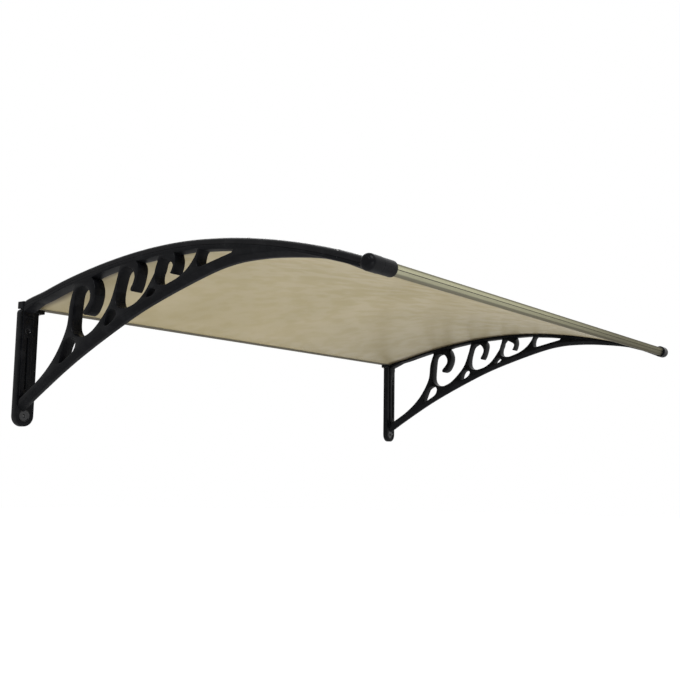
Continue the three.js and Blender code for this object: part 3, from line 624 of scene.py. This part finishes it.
def cover_strip(side):
    """The section at stations along the arc, with the wall end cut upright and the wells drilled out;
    side is -1 on the left and 1 on the right."""
    section = cover_section()
    stations = np.linspace(arc_length(COVER_WALL), arc_length(COVER_FRONT), COVER_STATIONS)
    x = side * (BRACKET_X + section[:, 0])
    rows = on_arc(x[None, :], stations[:, None], section[None, :, 1])
    wall = np.array(rows[0])
    wall[:, 1] = -COVER_WALL
    rows[0] = wall
    name = "left" if side < 0 else "right"
    strip = outward(make_piece(f"{name}_domed_strip", *swept(rows), strip_black, COVER_CREASE))
    drills = [well_drill(side * (BRACKET_X + SCREW_OFFSET), reach) for reach in screw_reaches]
    strip = drilled(strip, drills)
    strip.data.set_sharp_from_angle(angle=math.radians(COVER_CREASE))
    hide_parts(f"{name}_cover_strip")
    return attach(strip, "root")


for side in (-1, 1):
    cover_strip(side)

# %% [markdown]
# ## The front bar
# The front bar is drawn aluminium. Its section has well rounded corners, a narrow groove a little
# above the middle of its face, and a slot at the back that takes the sheet. The section leans with
# the sheet and is the same from end to end, and the ends are cut flat. It could be a curve with a
# bevel, but the formula of the section also tells the material where the groove and the bands are.

# %% Front bar section
BAR_HEIGHT = -0.3 * MM - ZERO_DROP
BAR_LEAN = math.asin((BAR_REACH - APEX_REACH) / ARC_RADIUS)
BAR_HALF_DEPTH = 7 * MM
BAR_HALF_TALL = 9.25 * MM
BAR_CORNER = 4.6 * MM
BAR_END = BRACKET_X - HALF_WEB + 23.5 * MM
SLOT_LOW = -4.9 * MM
SLOT_HIGH = 0.3 * MM
SLOT_FRONT = -1.4 * MM
SLOT_ROUNDING = 0.3 * MM
GROOVE_LOW = 1.0 * MM
GROOVE_HIGH = 2.6 * MM
GROOVE_DEPTH = 1.3 * MM
GROOVE_TAPER = 0.25 * MM
GROOVE_ROUNDING = 0.25 * MM


def bar_corner(centre, start):
    """Quarter circle of the bar's corner radius round a centre, from a start angle in quarter turns."""
    turn = (start + np.linspace(0, 1, 9)) * math.pi / 2
    return np.stack([centre[0] + BAR_CORNER * np.cos(turn), centre[1] + BAR_CORNER * np.sin(turn)], axis=1)


def front_bar_section():
    """Reach and height from the bar's middle: four quarter circles, with the groove between the two on
    the face and the slot between the two at the back."""
    w = BAR_HALF_DEPTH - BAR_CORNER
    h = BAR_HALF_TALL - BAR_CORNER
    face = BAR_HALF_DEPTH
    floor = face - GROOVE_DEPTH
    groove = rounded([(face, GROOVE_LOW), (floor, GROOVE_LOW + GROOVE_TAPER),
                      (floor, GROOVE_HIGH - GROOVE_TAPER), (face, GROOVE_HIGH)], GROOVE_ROUNDING, 2)
    slot = rounded([(-face, SLOT_HIGH), (SLOT_FRONT, SLOT_HIGH),
                    (SLOT_FRONT, SLOT_LOW), (-face, SLOT_LOW)], SLOT_ROUNDING, 2)
    low_front = bar_corner((w, -h), 3)
    high_front = bar_corner((w, h), 0)
    high_back = bar_corner((-w, h), 1)
    low_back = bar_corner((-w, -h), 2)
    return np.concatenate([low_front, groove, high_front, high_back, slot, low_back])


# %% Front bar
BAR_STATIONS = 61
BAR_CREASE = 35
MARK_INSIDE = 0.4 * MM


def leaning(x, section):
    """Turns the section by the lean of the sheet and sets it at the bar's middle."""
    reach = section[:, 0] * math.cos(BAR_LEAN) + section[:, 1] * math.sin(BAR_LEAN)
    height = -section[:, 0] * math.sin(BAR_LEAN) + section[:, 1] * math.cos(BAR_LEAN)
    return np.stack(np.broadcast_arrays(x, -(BAR_REACH + reach), BAR_HEIGHT + height), axis=-1)


def mark_section(piece):
    """Writes each point's height within the leaning section, and one where it lies in the face groove."""
    points = np.zeros(len(piece.data.vertices) * 3)
    piece.data.vertices.foreach_get("co", points)
    x, y, z = points.reshape(-1, 3).T
    reach = -y - BAR_REACH
    height = z - BAR_HEIGHT
    rise = reach * math.sin(BAR_LEAN) + height * math.cos(BAR_LEAN)
    out = reach * math.cos(BAR_LEAN) - height * math.sin(BAR_LEAN)
    inside = (out > 0) & (out < BAR_HALF_DEPTH - MARK_INSIDE)
    groove = inside & (rise > GROOVE_LOW) & (rise < GROOVE_HIGH)
    for label, values in (("rise", rise), ("groove", groove.astype(float))):
        piece.data.attributes.new(label, "FLOAT", "POINT").data.foreach_set("value", values)
    return piece


def front_bar():
    """The leaning section at equal steps along X; two stations would do, more keep the faces short."""
    section = front_bar_section()
    stations = np.linspace(-BAR_END, BAR_END, BAR_STATIONS)
    rows = np.stack([leaning(x, section) for x in stations])
    return mark_section(outward(make_piece("grooved_front_bar", *swept(rows), front_metal, BAR_CREASE)))


bar = front_bar()
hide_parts("front_bar")
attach(bar, "root")

# %% [markdown]
# ## The brackets
# A bracket is one moulding: wall post, arm, scrolls, rail and a round boss for the bar. A mould
# leaves no sharp edge, so its flat parts are drawn as outlines and cut out as plates with rounded
# edges: Blender's flat curve does both at once, holes included. The outlines have few points, and a
# smooth curve runs through them, in millimetres of reach and height above the top of the wall posts.
# The parts could be fused into one skin, but as closed parts of one mesh that run into each other
# they look the same and keep their clean faces.

# %% Outlines of the scrollwork
ARM_UNDERSIDE = [
    (8, -187.3), (60, -155.2), (140, -109.6), (220, -70.6), (310, -31.9), (390, -4.9), (470, 17.6),
    (515, 26), (555, 28.4), (610, 26.3), (680, 17.6), (722, 6.6), (764, -10.8),
]
OPENINGS = {
    "wall bay": ((13, -165.5), [
        ("line", [(33, -153)]),
        ("curve", [(66, -132.5), (96, -108), (120, -80), (140, -43), (145, -8), (149, 8), (154.5, 22)]),
        ("curve", [(155.5, 28.5), (151, 31.2)]),
        ("curve", [(100, 21.8), (60, 11.6), (30, -0.4), (16.5, -6)]),
        ("line", [(13, -7)])]),
    "first scroll": ((200.6, 38), [
        ("curve", [(220, 42.6), (272, 50.4)]),
        ("curve", [(263, 20), (250, -11), (230, -35), (208, -53.5), (188, -62.2)]),
        ("curve", [(170, -61), (158, -53), (153.6, -40), (155, -14), (158.5, 12), (166, 21.8), (178, 25)]),
        ("curve", [(190, 22), (198, 11), (197, -2), (184, -17)]),
        ("curve", [(183, -22.5), (188, -25.2), (199, -19.5), (209, -2), (211.3, 16), (206, 31.5),
                   (200.6, 38)])]),
    "second scroll": ((311, 53.6), [
        ("curve", [(335, 54.8), (363.5, 56.4)]),
        ("curve", [(359, 36), (349, 19), (332, -2), (312, -16), (290, -22.3)]),
        ("curve", [(274, -20), (265.6, -11), (264.6, 4), (268.5, 22), (275, 38.5), (287, 46)]),
        ("curve", [(300, 43), (308.4, 31), (306.5, 20), (300.6, 10)]),
        ("curve", [(300.4, 6), (304.5, 5), (311, 17), (316, 35), (315.5, 46), (311, 53.6)])]),
    "third scroll": ((399, 57.2), [
        ("line", [(451.5, 57.6)]),
        ("curve", [(444, 44), (430, 29), (410, 16.8), (382, 7.6)]),
        ("curve", [(366, 9), (357.8, 16), (358.4, 30), (363.5, 44.5), (370.5, 52)]),
        ("curve", [(381, 48.8), (395, 41.6)]),
        ("line", [(397.4, 37)]),
        ("curve", [(394.6, 30), (391.8, 25.5)]),
        ("curve", [(393.5, 24), (396.6, 25.4), (401.2, 38), (401.6, 48), (399, 57.2)])]),
    "lower drop": ((124, -96), [
        ("curve", [(128, -86), (136, -69.5), (149, -62.3)]),
        ("curve", [(161, -63.5), (166, -72), (160, -85.6), (142, -97), (128, -104.5)]),
        ("curve", [(123.2, -104), (124, -96)])]),
    "middle drop": ((239, -42), [
        ("curve", [(241, -34), (246.5, -25), (255, -22)]),
        ("curve", [(264, -24), (267.4, -29.5), (261, -39), (246, -47.6)]),
        ("curve", [(240, -47.4), (239, -42)])]),
    "upper drop": ((338.4, -5), [
        ("curve", [(342, 0.6), (348, 5)]),
        ("curve", [(356, 4.4), (359.8, 0), (352, -6.3), (343, -8.4)]),
        ("curve", [(338.6, -7.6), (338.4, -5)])]),
    "front light": ((456.5, 54.8), [
        ("curve", [(490, 52), (518, 48.4)]),
        ("curve", [(524.5, 46.4), (522, 42.6)]),
        ("curve", [(490, 35.6), (458, 28.4)]),
        ("curve", [(451.6, 29.6), (449.4, 38), (452, 50), (456.5, 54.8)])]),
}
print("openings in a bracket:", len(OPENINGS))


# %% Smooth outlines
SHORTEST_STEP = 0.05


def smooth_through(points, steps=10):
    """Cubic pieces through the points; the slope at each point is half the chord between its neighbours."""
    p = np.array(points, float)
    ends = np.concatenate([p[:1], p, p[-1:]])
    a, b, c, d = ends[:-3], ends[1:-2], ends[2:-1], ends[3:]
    t = np.linspace(0, 1, steps, endpoint=False)[:, None, None]
    leave = (c - a) / 2
    arrive = (d - b) / 2
    cubic = 2 * b - 2 * c + leave + arrive
    square = 3 * c - 3 * b - 2 * leave - arrive
    curve = cubic * t ** 3 + square * t ** 2 + leave * t + b
    return np.concatenate([curve.transpose(1, 0, 2).reshape(-1, 2), p[-1:]])


def opening_outline(start, parts):
    """Straight and smooth runs joined end to end, in metres; each new run leaves out the point it starts
    from, and points closer together than the shortest step are dropped."""
    outline = np.array([start], float)
    for kind, points in parts:
        run = np.array([outline[-1], *points])
        outline = np.concatenate([outline, (smooth_through(run) if kind == "curve" else run)[1:]])
    apart = np.linalg.norm(outline - np.roll(outline, -1, axis=0), axis=1) > SHORTEST_STEP
    return (outline[apart] - (0, ZERO_DROP / MM)) * MM


def circle(centre, radius, steps=40):
    """Points at equal turns round a centre."""
    turn = full_turn(steps)
    return np.stack([centre[0] + radius * np.cos(turn), centre[1] + radius * np.sin(turn)], axis=1)


# %% Plates with rounded edges
def plate(outlines, low, high, edge, place):
    """Outer outline and holes, filled and made as thick as low to high, every edge rounded by edge.
    place turns two outline coordinates and the thickness coordinate into a point in the frame."""
    flat = bpy.data.curves.new("outline", "CURVE")
    flat.dimensions = "2D"
    flat.fill_mode = "BOTH"
    flat.extrude = (high - low) / 2 - edge
    flat.bevel_depth = edge
    flat.bevel_resolution = 2
    flat.offset = -edge
    for outline in outlines:
        line = flat.splines.new("POLY")
        line.points.add(len(outline) - 1)
        line.points.foreach_set("co", np.insert(outline, [2, 2], [0, 1], axis=1).ravel())
        line.use_cyclic_u = True
    holder = bpy.data.objects.new("outline", flat)
    bpy.context.scene.collection.objects.link(holder)
    graph = bpy.context.evaluated_depsgraph_get()
    mesh = bpy.data.meshes.new_from_object(holder.evaluated_get(graph))
    bpy.data.objects.remove(holder)
    points = np.zeros(len(mesh.vertices) * 3)
    mesh.vertices.foreach_get("co", points)
    u, v, w = points.reshape(-1, 3).T
    faces = [list(face.vertices) for face in mesh.polygons]
    return np.stack(np.broadcast_arrays(*place(u, v, w + (low + high) / 2)), axis=1), faces


# %% Scroll web, arm edge and rail
CHAMFER_HEIGHT = 7 * MM
EDGE_ROUNDING = 1.4 * MM
EDGE_SHRINKS = (BAR_REACH - 141 * MM, BAR_REACH - 71 * MM)
EDGE_SHRINK = 0.65
ARM_EDGE_PROUD = 0.05 * MM
WEB_WALL = 8 * MM
WEB_FRONT = BAR_REACH - 6 * MM
WEB_TOP = -1 * MM
RAIL_WALL = 15.7 * MM
RAIL_FRONT = BAR_REACH - 9 * MM
RAIL_PROUD = 0.5 * MM
RAIL_DEPTH = 4.5 * MM
RAIL_ROUNDING = 0.9 * MM
underside = smooth_through(ARM_UNDERSIDE, 12) * MM - (0, ZERO_DROP)


def above_underside(lift):
    """Points a lift above the arm's lower edge, square to it; the lift shrinks to a third near the front."""
    slope = np.gradient(underside, axis=0)
    slope /= np.linalg.norm(slope, axis=1)[:, None]
    shrink = 1 - EDGE_SHRINK * eased(underside[:, 0], EDGE_SHRINKS)
    return underside + np.stack([-slope[:, 1], slope[:, 0]], axis=1) * (lift * shrink)[:, None]


def scroll_web(x):
    """Plate between the arm's lower edge and the rail: out along the arm, back along the arc, and
    closed at the wall, with the openings as holes."""
    arm = above_underside(CHAMFER_HEIGHT)
    lengths = np.linspace(arc_length(WEB_FRONT), arc_length(RAIL_WALL), 60)
    top = on_arc(0.0, lengths, WEB_TOP)
    outer = np.concatenate([arm, np.stack([-top[:, 1], top[:, 2]], axis=1), [[WEB_WALL, top[-1, 2]]]])
    holes = [opening_outline(*opening) for opening in OPENINGS.values()]
    return plate([outer, *holes], x - HALF_WEB, x + HALF_WEB, EDGE_ROUNDING, lambda u, v, w: (w, -u, v))


def arm_edge(x):
    """Chamfered strip: its half section is mirrored and carried along the arm's lower edge."""
    w = (HALF_WEB + ARM_EDGE_PROUD) / MM
    half = np.array([(0, 0), (3.2, 0), (4.2, 0.25), (5, 0.9), (w - 0.9, 6.1), (w - 0.2, 6.8),
                     (w, 7.6), (w, 9), (w - 1.2, 9.8)]) * MM
    section = np.concatenate([half[:0:-1] * (-1, 1), half])
    rows = np.stack([above_underside(lift) for lift in section[:, 1]], axis=1)
    side = np.broadcast_to(x + section[:, 0], rows.shape[:2])
    return swept(np.stack([side, -rows[..., 0], rows[..., 1]], axis=-1))


def rail(x):
    """Band under the sheet, a little wider than the web, with rounded corners, along the arc."""
    w = HALF_WEB + RAIL_PROUD
    section = rounded([(-w, -RAIL_DEPTH), (w, -RAIL_DEPTH), (w, 0), (-w, 0)], RAIL_ROUNDING, 4)
    stations = np.linspace(arc_length(RAIL_WALL), arc_length(RAIL_FRONT), 100)
    return swept(on_arc(x + section[None, :, 0], stations[:, None], section[None, :, 1]))


# %% Wall post
POST_TOP = -ZERO_DROP
POST_INNER = 23.3 * MM
POST_OUTER = 15.2 * MM
POST_HALF = (POST_INNER + POST_OUTER) / 2
POST_HEIGHT = 212 * MM
POST_CORNER = 8 * MM
PLATE_DEPTH = 13 * MM
PLATE_ROUNDING = 1.3 * MM
UPPER_HOLE = POST_TOP - 40 * MM
UPPER_HOLE_RADIUS = 5.6 * MM
FOOT = POST_TOP - POST_HEIGHT + POST_HALF
FOOT_HOLE_RADIUS = 10.4 * MM
PILLAR_HALF = 11 * MM
PILLAR_TOP = POST_TOP - 14 * MM
PILLAR_FOOT = POST_TOP - 158 * MM
PILLAR_BACK = 11 * MM
PILLAR_FACE = 15.4 * MM
PILLAR_ROUNDING = 0.9 * MM
PILLAR_GROOVE_HALF = 1.8 * MM
PILLAR_GROOVE_INSET = 12 * MM


def upright(u, v, w):
    """Outline across the wall and up it, thickness out from the wall."""
    return u, -w, v


def post_plate(x, side):
    """Plate with a half-round foot, a rounded outer top corner, and a hole for each bush."""
    inner = x - side * POST_INNER
    outer = x + side * POST_OUTER
    middle = (inner + outer) / 2
    turn = np.linspace(math.pi, 2 * math.pi, 25)
    foot = np.stack([middle + side * POST_HALF * np.cos(turn), FOOT + POST_HALF * np.sin(turn)], axis=1)
    turn = np.linspace(0, math.pi / 2, 9)
    corner = np.stack([outer - side * POST_CORNER * (1 - np.cos(turn)),
                       POST_TOP - POST_CORNER * (1 - np.sin(turn))], axis=1)
    outline = np.concatenate([[[inner, POST_TOP]], foot, corner])
    holes = [circle((x, UPPER_HOLE), UPPER_HOLE_RADIUS), circle((middle, FOOT), FOOT_HOLE_RADIUS)]
    return plate([outline, *holes], 0, PLATE_DEPTH, PLATE_ROUNDING, upright)


def rectangle(centre, half, low, high, rounding, steps=5):
    """Upright rectangle round a middle line, as wide as twice the half, with rounded corners."""
    left = centre - half
    right = centre + half
    return rounded([(left, low), (right, low), (right, high), (left, high)], rounding, steps)


def pillar(x):
    """Raised strip on the plate with a long groove and the hole for the upper screw."""
    outline = rectangle(x, PILLAR_HALF, PILLAR_FOOT, PILLAR_TOP, 2 * MM)
    groove = rectangle(x, PILLAR_GROOVE_HALF, PILLAR_FOOT + PILLAR_GROOVE_INSET,
                       UPPER_HOLE - PILLAR_GROOVE_INSET, 1.2 * MM, 3)
    hole = circle((x, UPPER_HOLE), UPPER_HOLE_RADIUS)
    return plate([outline, groove, hole], PILLAR_BACK, PILLAR_FACE, PILLAR_ROUNDING, upright)


def bush(x, height, profile):
    """Turned ring round a screw hole: radius and reach pairs carried once round the hole's axis. The
    first ring is repeated to close it, so the two end faces are left out."""
    turn = full_turn(40)
    radius, reach = (np.array(profile) * MM).T[:, :, None]
    ring = (x + radius * np.cos(turn), -reach, height + radius * np.sin(turn))
    grid = np.stack(np.broadcast_arrays(*ring), axis=-1)
    points, faces = swept(np.concatenate([grid, grid[:1]]))
    return points, faces[:-2]


def block(x, half, low, high, back, front):
    """Box with soft edges: a rectangle round the middle line x, made thick from back to front reach."""
    return plate([rectangle(x, half, low, high, 0.8 * MM)], back, front, 0.6 * MM, upright)


# %% Boss for the bar
BOSS_RADIUS = 12.5 * MM
BOSS_LENGTH = 30 * MM
BOSS_BREAK = 0.6 * MM
BOSS_STRAIGHT = 18 * MM
DOME_START = 22 * MM
DOME_LENGTH = 7.8 * MM
DOME_ROUNDING = 8 * MM
BOSS_TIP = 0.05 * MM


def boss(x, side):
    """Turned about the bar's axis: flat inner end with a broken edge, straight side, a quarter ellipse
    that narrows the outer end, and a shallow cone to the tip."""
    turn = np.linspace(0, math.pi / 2, 17)
    side_radius = [BOSS_RADIUS - BOSS_BREAK, BOSS_RADIUS, BOSS_RADIUS]
    dome_radius = BOSS_RADIUS - DOME_ROUNDING + DOME_ROUNDING * np.cos(turn)
    radius = np.concatenate([side_radius, dome_radius, [BOSS_TIP]])
    side_along = [0, BOSS_BREAK, BOSS_STRAIGHT]
    along = np.concatenate([side_along, DOME_START + DOME_LENGTH * np.sin(turn), [BOSS_LENGTH]])
    turn = full_turn(56)
    axis_x = x - side * HALF_WEB + side * along
    grid = np.stack(np.broadcast_arrays(axis_x[:, None], -BAR_REACH + radius[:, None] * np.cos(turn),
                                        BAR_HEIGHT + radius[:, None] * np.sin(turn)), axis=-1)
    return swept(grid)


# %% Brackets
UPPER_BUSH = [(5.5, 0.5), (5.5, 14.6), (4.9, 15.3), (2.9, 12.2), (2.8, 0.5)]
LOWER_BUSH = [(10.5, 0.5), (10.5, 12.6), (10, 12.7), (9, 11.5), (3.4, 11.5), (2.8, 11), (2.8, 0.5)]
LEDGE_INNER = POST_INNER + 10.5 * MM
LEDGE_OUTER = 8 * MM
LEDGE_LOW = POST_TOP - 5.7 * MM
LEDGE_HIGH = POST_TOP + 1.3 * MM
LEDGE_FRONT = 15.4 * MM
NECK_LOW = POST_TOP - 16 * MM
NECK_HIGH = POST_TOP - 0.2 * MM
NECK_BACK = 11 * MM
BRACKET_CREASE = 35


def bracket_parts(x, side):
    """The two bushes, then the eight other closed parts of a bracket, each as points and faces."""
    middle = x + side * (POST_OUTER - POST_INNER) / 2
    ledge_middle = x + side * (LEDGE_OUTER - LEDGE_INNER) / 2
    ledge_half = (LEDGE_INNER + LEDGE_OUTER) / 2
    bushes = [bush(x, UPPER_HOLE, UPPER_BUSH), bush(middle, FOOT, LOWER_BUSH)]
    return bushes, [
        scroll_web(x), arm_edge(x), rail(x), post_plate(x, side), pillar(x), boss(x, side),
        block(ledge_middle, ledge_half, LEDGE_LOW, LEDGE_HIGH, 0, LEDGE_FRONT),
        block(x, HALF_WEB, NECK_LOW, NECK_HIGH, NECK_BACK, RAIL_WALL),
    ]


def bracket(name, side):
    """All parts in one mesh: each part's faces count on from the points before it. The bushes come
    first, so the polished faces are the first ones."""
    bushes, others = bracket_parts(side * BRACKET_X, side)
    parts = bushes + others
    starts = np.cumsum([0] + [len(points) for points, _ in parts])
    points = np.concatenate([part[0] for part in parts])
    faces = [[start + corner for corner in face] for start, part in zip(starts, parts) for face in part[1]]
    bush_faces = sum(len(part[1]) for part in bushes)
    polished = np.arange(len(faces)) < bush_faces
    piece = make_piece(f"{name}_scroll_bracket", points, faces, bracket_black, BRACKET_CREASE)
    piece.data.materials.append(bush_black)
    piece.data.polygons.foreach_set("material_index", polished.astype(int))
    outward(piece)
    piece.data.set_sharp_from_angle(angle=math.radians(BRACKET_CREASE))
    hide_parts(f"{name}_bracket")
    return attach(piece, "root")


bracket("left", -1)
bracket("right", 1)

# %% [markdown]
# ## The frame's own pieces
# The end caps, sleeve, screws, seals and rear bar keep the shape of the frame: their outlines are
# already right, so they only take a finish. New meshes could replace them too, but would show nothing
# more. The replaced pieces are hidden, so it doesn't matter that they take the caps' black.

# %% Finishes on the frame's own pieces
FINISHES = [
    ("end_cap", cap_black), ("sleeve", cap_black),
    ("screw", screw_metal), ("seal", rubber), ("rear_bar", rear_metal),
]


def finish_for(name):
    """The finish beside the first word of the list that the name holds, else the caps' black."""
    matches = [material for word, material in FINISHES if word in name]
    return matches[0] if matches else cap_black


for name, node in nodes.items():
    node.data.materials.clear()
    node.data.materials.append(finish_for(name))
print("finished frame pieces:", len(nodes))

# %% [markdown]
# ## Floor, light and camera
# The canopy hangs above a floor that is well below it. A pale world and three large soft lamps light
# it evenly, and a small lamp adds sharper glints. The floor and the world show white to the camera and
# in gloss. A backdrop could be a bent sheet behind the object, but the photograph is plain white, and
# the world alone gives that from every side.

# %% Floor and world
FLOOR_HEIGHT = -1.15
FLOOR_RADIUS = 14.0
FLOOR_SIDES = 96
FLOOR_GLOW = 0.6
WORLD_STRENGTH = 0.62


def seen_directly(tree):
    """One where the ray is a camera, glossy or transmission ray, else zero."""
    path = tree.nodes.new("ShaderNodeLightPath")
    seen = combine(tree, "MAXIMUM", path.outputs["Is Camera Ray"], path.outputs["Is Glossy Ray"])
    return combine(tree, "MAXIMUM", seen, path.outputs["Is Transmission Ray"])


def pale_floor():
    """A round plate: corners at equal turns on one ring, joined by one face."""
    turn = full_turn(FLOOR_SIDES)
    height = np.full(FLOOR_SIDES, FLOOR_HEIGHT)
    points = np.stack([FLOOR_RADIUS * np.cos(turn), FLOOR_RADIUS * np.sin(turn), height], axis=1)
    material, tree, shader = new_material("pale floor", 0.9)
    speck = window(tree, noise(tree, 3, 3), 0.3, 0.7)
    tree.links.new(blended(tree, speck, (0.78, 0.78, 0.78), (0.82, 0.82, 0.82)), shader.inputs["Base Color"])
    shader.inputs["Emission Color"].default_value = (1, 1, 1, 1)
    glow = combine(tree, "MULTIPLY", seen_directly(tree), FLOOR_GLOW)
    tree.links.new(glow, shader.inputs["Emission Strength"])
    floor = make_piece("floor", points, [list(range(FLOOR_SIDES))], material)
    return floor


def pale_world(strength):
    """Grey light on the object, white to the camera and in gloss."""
    world = bpy.data.worlds.new("studio")
    bpy.context.scene.world = world
    world.use_nodes = True
    tree = world.node_tree
    background = tree.nodes["Background"]
    background.inputs["Color"].default_value = (1, 1, 1, 1)
    level = window(tree, seen_directly(tree), 0, 1, strength, 1.0)
    tree.links.new(level, background.inputs["Strength"])


pale_floor()
pale_world(WORLD_STRENGTH)
print("floor at", FLOOR_HEIGHT)


# %% Soft lamps
def soft_lamp(name, place, target, size, power):
    """A square area lamp turned to face its target."""
    lamp = bpy.data.lights.new(name, "AREA")
    lamp.shape = "SQUARE"
    lamp.size = size
    lamp.energy = power
    holder = bpy.data.objects.new(name, lamp)
    bpy.context.scene.collection.objects.link(holder)
    holder.location = place
    holder.rotation_euler = (Vector(target) - Vector(place)).to_track_quat("-Z", "Y").to_euler()


soft_lamp("key lamp", (-1.6, -2.2, 2.4), (0, -0.4, 0), size=1.8, power=60)
soft_lamp("low lamp", (-1.4, -2.4, -0.9), (0, -0.4, -0.05), size=1.4, power=26)
soft_lamp("wall lamp", (1.8, 1.6, 1.6), (0, -0.4, 0), size=1.6, power=22)
soft_lamp("spark lamp", (-2.6, -0.3, 1.1), (-0.5, -0.3, -0.05), size=0.2, power=5)

# %% [markdown]
# ## Camera
# The camera stands low, to the left and in front, and looks slightly up, as in the photograph. Its
# place, turn, tilt and lens were solved from the edges of the posts and bars.

# %% Camera
CAMERA_PLACE = (-1.6162, -1.4724, -0.26615)
CAMERA_YAW = math.radians(36.575)
CAMERA_PITCH = math.radians(7.155)
CAMERA_ROLL = math.radians(0.853)
FOCAL_PIXELS = 938.6
PHOTO_PIXELS = 680
SENSOR = 36.0
SIGHT_END = 60


def photo_camera():
    """Axes from yaw, pitch and roll; the lens from the focal length in pixels over the frame's width."""
    flat = math.cos(CAMERA_PITCH)
    forward = Vector((flat * math.cos(CAMERA_YAW), flat * math.sin(CAMERA_YAW), math.sin(CAMERA_PITCH)))
    level = Vector((math.sin(CAMERA_YAW), -math.cos(CAMERA_YAW), 0))
    above = level.cross(forward)
    right = level * math.cos(CAMERA_ROLL) + above * math.sin(CAMERA_ROLL)
    up = above * math.cos(CAMERA_ROLL) - level * math.sin(CAMERA_ROLL)
    lens = bpy.data.cameras.new("camera")
    lens.sensor_width = SENSOR
    lens.lens = FOCAL_PIXELS / PHOTO_PIXELS * SENSOR
    lens.clip_end = SIGHT_END
    camera = bpy.data.objects.new("camera", lens)
    bpy.context.scene.collection.objects.link(camera)
    turn = Matrix((right, up, -forward)).transposed().to_4x4()
    camera.matrix_world = Matrix.Translation(CAMERA_PLACE) @ turn
    bpy.context.scene.camera = camera


photo_camera()
bpy.context.scene.view_settings.view_transform = "Standard"
